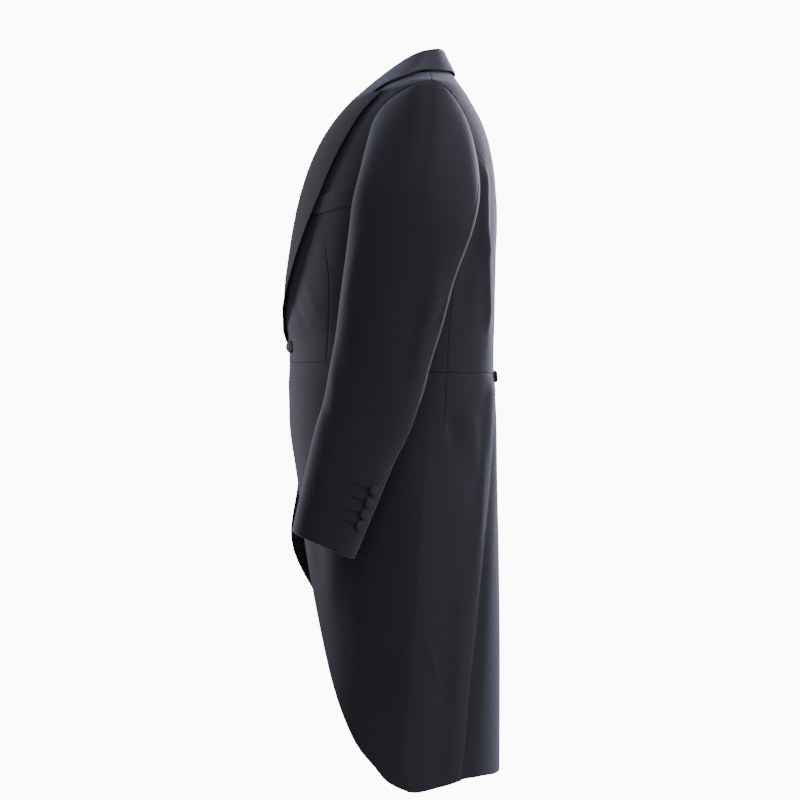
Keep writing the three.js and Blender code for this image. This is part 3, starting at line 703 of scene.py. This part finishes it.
def back_heights(t, s, phi, z):
    start = mix(hem_at(180.0), tail[0][1], s)
    return z + (hem_at(phi) - start) * np.clip(1 - t, 0, 1)


def back_firm(t):
    above = np.where(t < CURVE_TO, 1, np.where(t < HOLE_TO, 0.35, 0.7))
    return np.where(t < TAIL_TO, 0, above)


def pleat_shadow(away, z):
    """The sunk line where the skirt's folded edge presses on the tail, with painted shade on the tail: a
    dark line at the edge and a wider painted shadow fading away from it.
    """
    below = ease((572 - z) / 30)
    near = bell(away + 1, 2.2) + 0.55 * np.exp(np.minimum(away, 0) / 34)
    return -PLEAT_SUNK * below * bell(np.minimum(away + 4, 0), 22), PLEAT_PAINTED_SHADE * below * near


pleat_line = line([row[1] for row in PLEAT[::-1]], [row[0] for row in PLEAT[::-1]])
under_pleat = {"at": pleat_line, "form": pleat_shadow, "low": 0.4, "high": 0.93, "whole": True}
for side in (LEFT, RIGHT):
    laid = lay(
        side,
        back_centre(1.0 if side == LEFT else VENT_LAP),
        back_side,
        (30, 8),
        [under_pleat],
        back_heights,
        under_lap if side == RIGHT else None,
        {"first": lambda t: np.where(t < TAIL_TO, 0, 0.8), "last": back_firm},
    )
    piece = panel("back_" + SIDE_NAME[side], laid, {"first": 30, "bottom": TURNED_IN}, "bottom top")

# Skirt: the long cutaway panel below the waist seam, with a short dart under the arm. Its front edge
# sweeps back to the hem in one curve, and behind it folds over the tail as the side pleat.
CUTAWAY = [
    (3, 593.8),
    (6.5, 572),
    (11, 544),
    (16.5, 508),
    (23.5, 468),
    (30.5, 413),
    (38.5, 345),
    (48.5, 262),
    (54.5, 207),
    (61.5, 147),
    (67.5, 102),
    (73.5, 64),
    (79.5, 39.5),
    (85.2, 17),
    (93.2, 3.2),
]
PLEAT_STEP = 3.2
PLEAT_ROLL = 1.3
RIDGE_OUT = 9
SKIRT_CREASE = table(
    "z phi",
    [(1, 94.6), (41, 91.3), (104, 92.5), (198, 94.7), (293, 97.3), (375, 98.8), (503, 102.6), (594, 104)],
)
SKIRT_DART = table(
    "z phi",
    [(1, 103), (41, 104), (293, 107), (440, 109.4), (502, 110.8), (512, 111.5), (576, 114)],
)
pleat_path = path(PLEAT)


def skirt_heights(t, s, phi, z):
    top = waist_seam(phi) - 0.15 - mix(CUTAWAY[0][1], PLEAT[0][1], s)
    hem = hem_at(phi) - mix(CUTAWAY[-1][1], PLEAT[-1][1], s)
    return z + top * np.clip(1 - t, 0, 1) + hem * np.clip(t - pleat_path.last + 1, 0, 1)


def skirt_lift(t, phi, z):
    """Carries the skirt over the tail, and rolls it in at the fold."""
    ahead = pleat_path(t)[0] - phi
    rolled = ease((560 - z) / 60) * np.clip(1 - ahead / 6, 0, 1) ** 2
    return PLEAT_STEP * ease((577 - z) / 30) * ease((17 - ahead) / 10) - PLEAT_ROLL * rolled


def pressed_ridge(away, z):
    """A pressed fold: level in front of it and falling away behind it."""
    up = ease((520 - z) / 110) * ease((z + 40) / 60)
    ahead, behind = 1 - ease((-away - 60) / 90), np.exp(-np.maximum(away, 0) / 38)
    return RIDGE_OUT * up * (np.where(away < 0, ahead, behind) - 0.35), 0 * away


crease_at = line(SKIRT_CREASE["z"], SKIRT_CREASE["phi"])
dart_at = line(SKIRT_DART["z"], SKIRT_DART["phi"])
skirt_guides = [
    {"at": crease_at, "form": pressed_ridge, "low": 0.02, "high": 0.8, "whole": True},
    {"at": dart_at, "form": sewn_line(700, 493), "low": 0.3, "high": 0.86},
]
for side in (LEFT, RIGHT):
    laid = lay(
        side,
        path(CUTAWAY),
        pleat_path,
        (26, 8, 22),
        skirt_guides,
        skirt_heights,
        skirt_lift,
        {"bottom": 1},
    )
    piece = panel("skirt_" + SIDE_NAME[side], laid, {"first": 45, "top": TURNED_IN}, "first last top")

# Sleeve: a two-piece coat sleeve, the wide topsleeve outside and the narrow undersleeve inside, set
# into the armhole with its head eased full, and seamed along the forearm and the hindarm.
SLEEVE = table(
    "yf zf yr zr x half square",
    [
        (-66.4, 796.7, 92.9, 752.8, 230, 43, 2.15),
        (-72.4, 744.5, 73.1, 698.4, 233, 43, 2.3),
        (-80.7, 682, 58.2, 641.5, 235, 43, 2.45),
        (-86.8, 630.6, 43.3, 594, 237, 42, 2.55),
        (-95, 585, 29.7, 545.4, 239, 41, 2.6),
        (-103.2, 540, 12.2, 494, 241, 41, 2.65),
        (-115.5, 498.7, -6.7, 456.3, 243, 41, 2.7),
        (-130.8, 430.8, -33.7, 391.6, 245, 41, 2.75),
        (-145.3, 364.6, -60.7, 327.5, 247, 42, 2.8),
    ],
)
SLEEVE_LAST = 8
PLACE_LONG = 70.3
HINDARM, FOREARM, RING = 6, 14, 23
ARMHOLE_GAP = 0.35
SLEEVE_TUCK = 3.5
SLEEVE_SUNK, TUCK_SUNK = 1.5, 3.2
HEAD_LEAST, HEAD_MOST = 16, 30
# Creases of the sleeve: from one place to another, by place down the sleeve and angle round it.
SLEEVE_CREASES = table(
    "at0 round0 at1 round1 out wide",
    [
        (0.0, 128, 4.2, 134, 2.2, 13),
        (0.2, 108, 4.6, 118, -1.8, 16),
        (3.2, 34, 4.6, 56, -0.9, 15),
        (4.0, 30, 5.4, 52, 0.8, 13),
        (4.9, 28, 6.2, 54, -0.7, 14),
        (3.0, 205, 4.3, 178, 1.2, 12),
        (4.2, 210, 5.3, 182, -1.2, 12),
        (1.1, 146, 2.4, 116, 1.5, 9),
        (1.3, 160, 2.8, 128, -1.5, 9),
        (5.6, 60, 7.6, 68, 1.1, 14),
        (0.1, 40, 2.4, 34, 1.2, 14),
    ],
)
sleeve_at = {key: line(np.arange(9), SLEEVE[key]) for key in SLEEVE}
rear_at = [line(np.arange(11), np.array(ARMHOLE_REAR)[::-1, k]) for k in range(3)]
front_at = [line(np.arange(14), np.array(ARMHOLE_FRONT)[:, k]) for k in range(3)]


def ring_at(q):
    """Angle and height on the armhole, and angle round the sleeve, by place round the ring."""
    q = np.asarray(q, float)
    turns = np.floor(q / RING)
    q = q - turns * RING
    behind = q <= 10
    return [
        np.where(behind, rear(np.clip(q, 0, 10)), front(np.clip(q - 10, 0, 13))) + 360 * turns * (k == 2)
        for k, (rear, front) in enumerate(zip(rear_at, front_at))
    ]


def sleeve_point(side, at, turn):
    at, turn = np.broadcast_arrays(np.asarray(at, float), np.asarray(turn, float))
    c, s = np.cos(turn * DEGREE), np.sin(turn * DEGREE)
    power = 2 / sleeve_at["square"](at)
    c, s = np.sign(c) * np.abs(c) ** power, np.sign(s) * np.abs(s) ** power
    y = mix(sleeve_at["yr"](at), sleeve_at["yf"](at), (c + 1) / 2)
    z = mix(sleeve_at["zr"](at), sleeve_at["zf"](at), (c + 1) / 2)
    return np.stack([side * (sleeve_at["x"](at) + sleeve_at["half"](at) * s), y, z], -1)


def dot(a, b):
    return (a * b).sum(-1, keepdims=True)


def sleeve_grid(side, q):
    """The sleeve's points from the armhole to the cuff, with the places down and round it."""
    phi, z, turn = ring_at(q)
    hole, out = cloth_at(side, phi, z)
    ahead = cloth_at(side, *ring_at(q + 0.5)[:2])[0]
    behind = cloth_at(side, *ring_at(q - 0.5)[:2])[0]
    middle = cloth_at(side, *ring_at(np.arange(RING))[:2])[0].mean(0)
    inward = unit(np.cross(out, ahead - behind))
    inward *= np.where(dot(inward, middle - hole) < 0, -1, 1)
    start = hole + inward * ARMHOLE_GAP - out * SLEEVE_SUNK
    end = sleeve_point(side, 0, turn)
    down = unit(sleeve_point(side, 0.4, turn) - end)
    reach = np.linalg.norm(end - start, axis=-1, keepdims=True)
    bulge = out * np.minimum(HEAD_LEAST + 0.12 * reach, HEAD_MOST)
    steps = np.concatenate([[0, 0.012, 0.03, 0.055], np.linspace(0.085, 0.97, 24)])
    s = steps[:, None, None]
    r = 1 - s
    cap = start * (1 + 2 * s) * r * r + end * s * s * (3 - 2 * s)
    cap = cap + bulge * s * r * r - down * reach * 1.55 * s * s * r
    cap[0] = hole - inward * SLEEVE_TUCK - out * TUCK_SUNK
    places = shares(470.0, 66)[0][3:] * SLEEVE_LAST
    places[0] = 0
    tube = sleeve_point(side, places[:, None], turn[None, :])
    at = np.concatenate([steps - 1, places])
    return np.concatenate([cap, tube]), at, turn


def normals_of(points, at, way):
    """The directions off a grid of points, on the side where the one at a place goes that way."""
    up, across = np.gradient(points, axis=0), np.gradient(points, axis=1)
    n = unit(np.cross(up, across))
    return -n if (n[at] * way).sum() < 0 else n


SLEEVE_PARTS = {
    "topsleeve": (FOREARM, HINDARM + RING, 300.0, 60, (0.31, 0.67), 0.13),
    "undersleeve": (HINDARM, FOREARM, 165.0, 34, (0.17, 0.62), 0.085),
}
for side in (LEFT, RIGHT):
    for part, (start, stop, width, count, flat, area) in SLEEVE_PARTS.items():
        q = mix(start, stop, shares(width, count)[0])
        points, at, turn = sleeve_grid(side, q)
        elbow = sleeve_point(side, 4, np.arange(0, 360, 30)).mean(0)
        middle = int(np.argmin(np.abs(at - 4))), points.shape[1] // 2
        n = normals_of(points, middle, points[middle] - elbow)
        arc, drop = lengths(points, 1), lengths(points, 0)
        relief, bent, tone = np.zeros(arc.shape), np.zeros(arc.shape), np.ones(arc.shape)
        for edge in (arc, arc[:, -1:] - arc):
            groove = bell(edge, SEAM_WIDE) * ease((at[:, None] + 1) / 0.06)
            relief -= SEAM_DEEP * groove
            tone -= SEAM_DARK * groove
        for at0, round0, at1, round1, out, wide in zip(*SLEEVE_CREASES.values()):
            share = np.clip((at[:, None] - at0) / (at1 - at0), 0, 1)
            off = (turn[None, :] % 360 - mix(round0, round1, share)) * 1.1
            ends = ease(share / 0.3) * ease((1 - share) / 0.3)
            bent += out * ends * bell(off, wide)
        tone -= 0.2 * bell(drop, 1.5)
        name = part + "_" + SIDE_NAME[side]
        to_cuff = drop[-1:] - drop
        lined = (to_cuff[:-1, :-1] > TURNED_IN).astype(int)
        piece = wall(
            "cloth_" + name,
            points + n * (relief + bent)[..., None],
            points + n * (bent - CLOTH)[..., None],
            np.stack([arc - arc[:, -1:] / 2, to_cuff], -1),
            np.clip(tone, *TONES),
            [coating, lining],
            lined,
            free="top",
        )
        worn(piece, [name])

# Lapel: the facing of the forepart, turned over along the roll line. It is wide at the breast, runs
# down to the button in one long curve, and meets the collar in the gorge seam.
LAPEL = table(
    "fold phi z off",
    [
        (625, 5, 628, 3.4),
        (640, 9, 646, 6),
        (660, 13.6, 667, 10),
        (684, 19, 692, 12.5),
        (712, 24.8, 719, 12),
        (742, 30.3, 750, 11),
        (780, 37.4, 788, 9),
        (820, 43.4, 827, 6.5),
        (862, 49.2, 869, 6),
        (902, 55, 907, 5.5),
        (930, 60, 936, 5.2),
        (950, 64, 951.5, 5),
        (966, 69, 966, 5),
    ],
)
# The facing is the coating with its twill run the other way and less sheen. Its colour is set darker, as
# painted shade, so a lapel looks darker than the forepart under it.
facing_cloth_painted_darker = woven("worsted facing painted darker", "#1D1C21", COATING_SHEEN, 0.12, 0.85, RIB, -RIB_STEEP, 0.45)
LAPEL_ACROSS = [0.05, 0.14, 0.27, 0.42, 0.58, 0.74, 0.88, 0.965, 0.99, 1]
GORGE_Z, GORGE_DIP, GORGE_CORNER = 966, 4, 61
FACING = 2.4
# The roll's first lines: how far each lies beyond the forepart's edge, and how far off its cloth.
LAPEL_ROLL = [(3, -1.6), (3.1, 0.9), (1.7, 3.1)]
LAPEL_OFF, LAPEL_FULL = 3.3, 0.8
EDGE_WIDE = 1.2
GORGE_SUNK, GORGE_DARK = 0.4, 0.45


def fine(points, axis, steps):
    """Fills in a grid of points along one axis with a smooth line through them."""
    points = np.moveaxis(points, axis, 0)
    index = np.arange(len(points))
    t = np.linspace(0, len(points) - 1, (len(points) - 1) * steps + 1)
    flat = points.reshape(len(points), -1)
    made = np.stack([line(index, flat[:, k])(t) for k in range(flat.shape[1])], 1)
    return np.moveaxis(made.reshape((len(t),) + points.shape[1:]), 0, axis)


def beside_edge(side, z, by, off):
    phi = edge_phi(z)
    a, n = cloth_at(side, phi, z)
    b = cloth_at(side, phi + 1, z)[0]
    return a + unit(a - b) * by + n * off


def gorge_at(phi):
    start = edge_phi(np.array(float(GORGE_Z)))
    along = np.clip((phi - start) / (GORGE_CORNER - start), 0, 1)
    return GORGE_Z - GORGE_DIP * np.sin(math.pi * along)


for side in (LEFT, RIGHT):
    fold = LAPEL["fold"]
    last = len(fold) - 1
    phi0 = edge_phi(fold)
    start = fold - np.where(np.arange(len(fold)) == last, 1.2, 0)
    columns = [beside_edge(side, start, by, off) for by, off in LAPEL_ROLL]
    for s in LAPEL_ACROSS:
        phi = mix(phi0, LAPEL["phi"], s)
        z = mix(fold, LAPEL["z"], s)
        z[last] = gorge_at(phi[last])
        full = np.where(np.arange(len(fold)) == 0, 0, LAPEL_FULL * math.sin(math.pi * s))
        columns.append(cloth_at(side, phi, z, mix(LAPEL_OFF, LAPEL["off"], s * s) + full)[0])
    points = fine(fine(np.stack(columns, 1), 0, 9), 1, 4)
    n = normals_of(points, (len(points) // 2, -8), cloth_at(side, 20, 800)[1])
    arc, drop = lengths(points, 1), lengths(points, 0)
    # The gorge seam is darker, and along its outer edge the lapel is painted darker, as painted shade of
    # the edge.
    groove = bell(drop[-1:] - drop, EDGE_WIDE)
    tone = 1 - GORGE_DARK * groove - 0.25 * bell(arc[:, -1:] - arc, EDGE_WIDE)
    piece = wall(
        "cloth_lapel_" + SIDE_NAME[side],
        points - n * (GORGE_SUNK * groove)[..., None],
        points - n * FACING,
        np.stack([arc, drop], -1),
        tone,
        [facing_cloth_painted_darker],
        free="first last bottom",
    )
    worn(piece, ["lapel_" + SIDE_NAME[side]])

# Collar: one strip of coating over stiff linen. It stands up from the neck seam, folds at the top
# and falls outside it, and its two ends are sewn to the lapels along the gorge.
COLLAR = [
    {"neck": 180, "fold": (0, 63, 1048), "edge": (0, 81, 1014.5)},
    {"neck": 158, "fold": (23, 61.5, 1047.6), "edge": (32, 79.5, 1013.5)},
    {"neck": 136, "fold": (43, 56.5, 1046), "edge": (68, 72.5, 1011)},
    {"neck": 112, "fold": (57, 47, 1043.5), "edge": (99, 57.5, 1007.5)},
    {"neck": 92, "fold": (63, 33, 1040), "edge": (115, 35, 1006)},
    {"seam": 1012.6, "fold": (64, 14, 1032), "edge": (132, 15, 998.5)},
    {"seam": 1009, "fold": (63, -4, 1021), "edge": (143, -3, 990)},
    {"seam": 1000, "fold": (62, -23, 1007), "edge": (150, -18, 982)},
    {"seam": 986, "fold": (60.5, -45, 989.5), "edge": (150, -29, 976)},
    {"seam": 966.8, "fold": (59.6, -71.4, 967.5), "edge": (142, -41, 971.5)},
]
COLLAR_FOLD = 2.6
COLLAR_CLEAR = 4


def keep_clear(side, p, off):
    z = min(p[2], NECK_TOP - 1)
    phi = math.atan2(abs(p[0]), float(form_at["mid"](z)) - p[1]) / DEGREE
    here, n = cloth_at(side, phi, z)
    far = ((p - here) * n).sum()
    return p + n * (off - far) if far < off else p


def collar_row(side, row, gorge):
    if "neck" in row:
        seam = cloth_at(side, row["neck"], mix(NECK_SIDE, NECK_TOP, (row["neck"] - 90) / 90))[0]
    else:
        seam = cloth_at(side, edge_phi(row["seam"]), row["seam"])[0]
    fold = np.array(row["fold"], float) * (side, 1, 1)
    edge = np.array(row["edge"], float) * (side, 1, 1)
    up = unit(fold - seam)
    fall = edge - fold
    out = unit(fall - up * (fall * up).sum())

    def put(base, o, u):
        return base + out * o * COLLAR_FOLD + up * u * COLLAR_FOLD

    stand = np.linalg.norm(fold - seam)
    # Behind the neck the stand's lower edge is lapped inside the back.
    foot = put(seam, -1.65, -0.8) if "neck" in row else put(seam, -1, min(0.3, stand / 20))
    made = [foot, put((seam + fold) / 2, -1, 0)]
    made += [put(fold, -1, -0.9), put(fold, -0.72, -0.28), put(fold, 0, 0), put(fold, 0.72, -0.28)]
    top = put(fold, 1.05, -0.9)
    for s in (0, 0.2, 0.4, 0.6, 0.8, 0.95, 1):
        if gorge and s > 0:
            phi = mix(float(edge_phi(np.array(float(GORGE_Z)))) + 1, GORGE_CORNER, s)
            made.append(cloth_at(side, phi, gorge_at(phi) + 0.5, 4.2)[0])
        else:
            p = mix(top, edge, s)
            made.append(p if s == 0 else keep_clear(side, p, COLLAR_CLEAR))
    return np.array(made)


half = [collar_row(LEFT, row, row is COLLAR[-1]) for row in COLLAR[:0:-1]]
other = [collar_row(RIGHT, row, row is COLLAR[-1]) for row in COLLAR[1:]]
points = fine(fine(np.array(half + [collar_row(LEFT, COLLAR[0], False)] + other), 0, 8), 1, 4)
n = normals_of(points, (len(points) // 2, -3), (0, 0.6, 0.8))
arc, drop = lengths(points, 1), lengths(points, 0)
ends = np.minimum(drop, drop[-1:] - drop)
# The seams at the collar's two ends are darker, and along its fall edge the collar is painted darker, as
# painted shade beneath the edge.
groove = bell(ends, EDGE_WIDE)
tone = 1 - GORGE_DARK * groove - 0.2 * bell(arc[:, -1:] - arc, EDGE_WIDE)
collar = wall(
    "cloth_collar",
    points - n * (GORGE_SUNK * groove)[..., None],
    points - n * CLOTH,
    np.stack([drop, arc], -1),
    tone,
    [coating],
    free="first last",
)
worn(collar, ["collar"])

# Breast welt: a strip of coating on the wearer's left breast, slanting up towards the arm, with its
# ends sewn down and its top edge open as the mouth of the pocket.
WELT = {"phi0": 38.5, "phi1": 65, "low0": 799, "low1": 809, "high0": 824.5, "high1": 836}
WELT_LONG, WELT_TALL = 78.0, 26.0
STITCH_WIDE = 1.1
across = shares(WELT_LONG, 26)[0]
upward = shares(WELT_TALL, 8)[0]
s, u = np.meshgrid(across, upward)
phi = mix(WELT["phi0"], WELT["phi1"], s)
z = mix(mix(WELT["low0"], WELT["low1"], s), mix(WELT["high0"], WELT["high1"], s), u)
base, n = cloth_at(LEFT, phi, z)
arc, drop = lengths(base, 1), lengths(base, 0)
stitched = bell(drop, STITCH_WIDE) + bell(arc, STITCH_WIDE) + bell(arc[:, -1:] - arc, STITCH_WIDE)
stitched = np.clip(stitched, 0, 1)
# The sewn ends and lower edge are darker lines. Along the open mouth the welt is painted darker, as
# painted shade in the pocket's opening.
mouth = bell(drop[-1:] - drop, STITCH_WIDE)
relief = 2 - 1.1 * stitched - 0.3 * mouth
welt = wall(
    "cloth_breast_welt",
    base + n * relief[..., None],
    base + n * 0.4,
    np.stack([arc, drop], -1),
    1 - 0.5 * stitched - 0.6 * mouth,
    [coating],
    free="top",
)
worn(welt, ["breast_welt"])

# Buttons: domed moulds covered in the same black cloth, gathered in behind and sewn on a short
# thread shank. One is at each front, one at each side of the back waist, and four on each cuff.
# The button cloth's colour is set lighter than the coating's, as painted light, so the domes read
# brighter than the sleeve.
COVER_PAINTED_LIGHTER = "#2C2D33"
THREAD = "#1D1D21"
COVERED_WEAVE = 0.0008
covered = woven(
    "covered button cloth", COVER_PAINTED_LIGHTER, COATING_SHEEN, 0.35, 0.7, COVERED_WEAVE, 45, 0.6, crossed=True
)
thread = woven("silk twist thread", THREAD, "#C9CBE0", 0.2, 0.55, 0.0007, 0, 0.6)
BUTTON_RINGS = [(0.97, 0.25), (1.0, 0.45), (0.94, 0.7), (0.78, 0.88), (0.52, 0.97), (0.24, 1.0)]


def select_facing(made, way):
    """Selects the faces that look up (1) or down (-1), and stays in edit mode."""
    bpy.ops.object.mode_set(mode="EDIT")
    bpy.ops.mesh.select_mode(type="FACE")
    bpy.ops.mesh.select_all(action="DESELECT")
    bpy.ops.object.mode_set(mode="OBJECT")
    for face in made.data.polygons:
        face.select = face.normal.z * way > 0.9
    bpy.ops.object.mode_set(mode="EDIT")


def button_mesh(name, diameter, thick, clear):
    """A turned dome in millimetres, standing on its shank with its back at height zero."""
    bpy.ops.object.select_all(action="DESELECT")
    r = diameter / 2
    wide, high = 0.8, 0.1
    bpy.ops.mesh.primitive_cylinder_add(
        vertices=40,
        radius=wide * r,
        depth=high * thick,
        end_fill_type="NGON",
        location=(0, 0, high / 2 * thick),
    )
    made = bpy.context.object
    made.name = name
    bpy.ops.object.transform_apply(location=True)
    select_facing(made, 1)
    for ring, height in BUTTON_RINGS:
        bpy.ops.mesh.extrude_region_move(
            TRANSFORM_OT_translate={"value": (0, 0, (height - high) * thick)}
        )
        bpy.ops.transform.resize(
            value=(ring / wide, ring / wide, 1), center_override=(0, 0, height * thick)
        )
        wide, high = ring, height
    select_facing(made, -1)
    for inset in (0.2, 0.3):
        bpy.ops.mesh.inset(thickness=inset * r)
    bpy.ops.mesh.extrude_region_move(TRANSFORM_OT_translate={"value": (0, 0, -clear - 0.4)})
    bpy.ops.object.mode_set(mode="OBJECT")
    smooth = made.modifiers.new("rounding", "SUBSURF")
    smooth.levels = smooth.render_levels = 2
    bpy.ops.object.modifier_apply(modifier=smooth.name)
    mesh = made.data
    mesh.materials.append(covered)
    mesh.materials.append(thread)
    places = np.zeros(len(mesh.vertices) * 3)
    mesh.vertices.foreach_get("co", places)
    places = places.reshape(-1, 3)
    bpy.data.objects.remove(made)
    while mesh.uv_layers:
        mesh.uv_layers.remove(mesh.uv_layers[0])
    # Painted shade: the cover is darker in a ring round the rim of the dome.
    rim = 1 - 0.6 * bell(np.hypot(places[:, 0], places[:, 1]) - r, 0.08 * diameter)
    mark(mesh, places[:, :2] / 1000, rim)
    for face in mesh.polygons:
        face.use_smooth = True
        face.material_index = 1 if face.center.z < -0.05 else 0
    return mesh


def sew_on(name, node, mesh, at, facing, clear):
    """Places a copy of a button's mesh, standing off the cloth on its shank."""
    copy = mesh.copy()
    place = Vector((np.asarray(at) + np.asarray(facing) * clear - NAPE) / 1000)
    turn = Vector(facing).to_track_quat("Z", "Y").to_matrix().to_4x4()
    copy.transform(Matrix.Translation(place) @ turn @ Matrix.Scale(0.001, 4))
    return worn(place_new(name, copy), [node])


def cuff_place(k):
    """The place down the sleeve of a cuff button, counted from the one next to the cuff."""
    return SLEEVE_LAST - (CUFF["first"] + k * CUFF["pitch"]) / PLACE_LONG


FRONT = {"round": 10.5, "turned": 0.6, "clear": 0.5}
BEHIND = {"round": 168, "z": 574, "clear": 0.85}
CUFF = {"count": 4, "first": 45, "pitch": 16.5, "round": 134, "clear": 0.4}
front_mesh = button_mesh("front button", 17.7, 4.2, FRONT["clear"])
back_mesh = button_mesh("back button", 17.0, 4.5, BEHIND["clear"])
cuff_mesh = button_mesh("cuff button", 14.6, 3.4, CUFF["clear"])
for side in (LEFT, RIGHT):
    tag = SIDE_NAME[side]
    at, facing = cloth_at(side, FRONT["round"], BUTTON_AT)
    facing = unit(facing + np.array([FRONT["turned"] * side, 0, 0]))
    name = "front_button_" + tag
    sew_on("covered_" + name, name, front_mesh, at, facing, FRONT["clear"])
    at, facing = cloth_at(side, BEHIND["round"], BEHIND["z"])
    name = "back_button_" + tag
    sew_on("covered_" + name, name, back_mesh, at, facing, BEHIND["clear"])
    for k in range(CUFF["count"]):
        down = cuff_place(k)
        p = sleeve_point(side, down, CUFF["round"])
        up = sleeve_point(side, down - 0.1, CUFF["round"]) - p
        aside = sleeve_point(side, down, CUFF["round"] + 3) - p
        facing = unit(np.cross(up, aside))
        facing = facing * (1 if facing[0] * side > 0 else -1)
        name = "cuff_button_%d_%s" % (k + 1, tag)
        sew_on("covered_" + name, name, cuff_mesh, p, facing, CUFF["clear"])

# Cuff buttonholes: worked in silk twist, two ridges of close stitches along a slit, from under each
# button towards the front of the sleeve.
HOLE = {"near": 6, "far": 32, "points": 28}
profile = np.array(
    [(-1.5, -0.2), (-1.1, 0.55), (-0.6, 0.75), (-0.15, 0.2)]
    + [(0.15, 0.2), (0.6, 0.75), (1.1, 0.55), (1.5, -0.2)]
)
index = np.arange(HOLE["points"])
for side in (LEFT, RIGHT):
    for k in range(CUFF["count"]):
        down = cuff_place(k)
        turn = CUFF["round"] - np.linspace(HOLE["near"], HOLE["far"], HOLE["points"])
        centre = sleeve_point(side, down, turn)
        up = unit(sleeve_point(side, down - 0.1, turn) - centre)
        aside = unit(np.gradient(centre, axis=0))
        facing = np.cross(up, aside)
        facing = facing * np.where(facing[:, :1] * side > 0, 1, -1)
        taper = ease(np.minimum(index, index[::-1]) / 2.5)[:, None, None]
        sway = 0.15 * np.sin(index / index[-1] * 5 + 2.0 * k)[:, None, None]
        middle = centre[:, None] + up[:, None] * (profile[None, :, :1] * (0.35 + 0.65 * taper) + sway)
        outer = middle + facing[:, None] * (profile[None, :, 1:] * taper + 0.05)
        inner = middle - facing[:, None] * 0.5
        arc, drop = lengths(outer, 1), lengths(outer, 0)
        piece = wall(
            "cuff_buttonhole_%d_%s" % (k + 1, SIDE_NAME[side]),
            outer,
            inner,
            np.stack([drop, arc], -1),
            # The slit between the two ridges is painted darker, as painted shade.
            np.where(np.abs(profile[None, :, 0]) < 0.3, 0.4, 1.15) * np.ones(arc.shape),
            [thread],
            free="",
        )
        worn(piece, [])

# Studio: white surroundings with large soft lamps in front of the coat, behind and above it. A rim
# lamp with a narrow beam, beyond the coat, draws the bright line along the back, and the weak fill
# on the camera's side leaves the sleeve dark.
FLOOR_Z = -1.42
bpy.ops.object.select_all(action="DESELECT")
bpy.ops.mesh.primitive_circle_add(
    vertices=96, radius=1.25, fill_type="NGON", location=(0, -0.05, FLOOR_Z)
)
floor = bpy.context.object
floor.name = "floor"
paint = bpy.data.materials.new("white floor paint")
paint.use_nodes = True
paint.node_tree.nodes["Principled BSDF"].inputs["Base Color"].default_value = colour("#F4F4F4")
paint.node_tree.nodes["Principled BSDF"].inputs["Roughness"].default_value = 0.9
floor.data.materials.append(paint)

world = bpy.data.worlds.new("white studio")
bpy.context.scene.world = world
world.use_nodes = True
tree = world.node_tree
tree.nodes.clear()
seen = add_node(tree, "ShaderNodeBackground", None, {"Color": (1, 1, 1, 1), "Strength": 11.0})
lit = add_node(tree, "ShaderNodeBackground", None, {"Color": (0.97, 0.96, 1, 1), "Strength": 0.22})
ray = add_node(tree, "ShaderNodeLightPath")
both = add_node(
    tree,
    "ShaderNodeMixShader",
    None,
    {0: ray.outputs["Is Camera Ray"], 1: lit.outputs[0], 2: seen.outputs[0]},
)
add_node(tree, "ShaderNodeOutputWorld", None, {"Surface": both.outputs[0]})

for name, place, aim, size, spread, power in (
    ("front softbox", (-1.2, -2.5, -0.3), (0, 0, -0.45), 1.1, 180, 72),
    ("rear softbox", (0.6, 2.8, 0.3), (0, 0, -0.2), 1.0, 60, 6),
    ("rim softbox", (-2.8, 1.3, 0.6), (0, 0, 0.1), 1.2, 66, 22),
    ("top softbox", (0.4, 0.7, 2.2), (0.1, 0, -0.1), 1.4, 180, 28),
    ("side fill", (2.0, 0.3, 1.0), (0.2, 0, -0.3), 0.9, 180, 14),
):
    data = bpy.data.lights.new(name, "AREA")
    data.shape = "SQUARE"
    data.size = size
    data.spread = math.radians(spread)
    data.energy = power
    data.color = (0.97, 0.97, 1.0)
    lamp = place_new(name, data)
    lamp.location = place
    lamp.rotation_euler = (Vector(place) - Vector(aim)).to_track_quat("Z", "Y").to_euler()
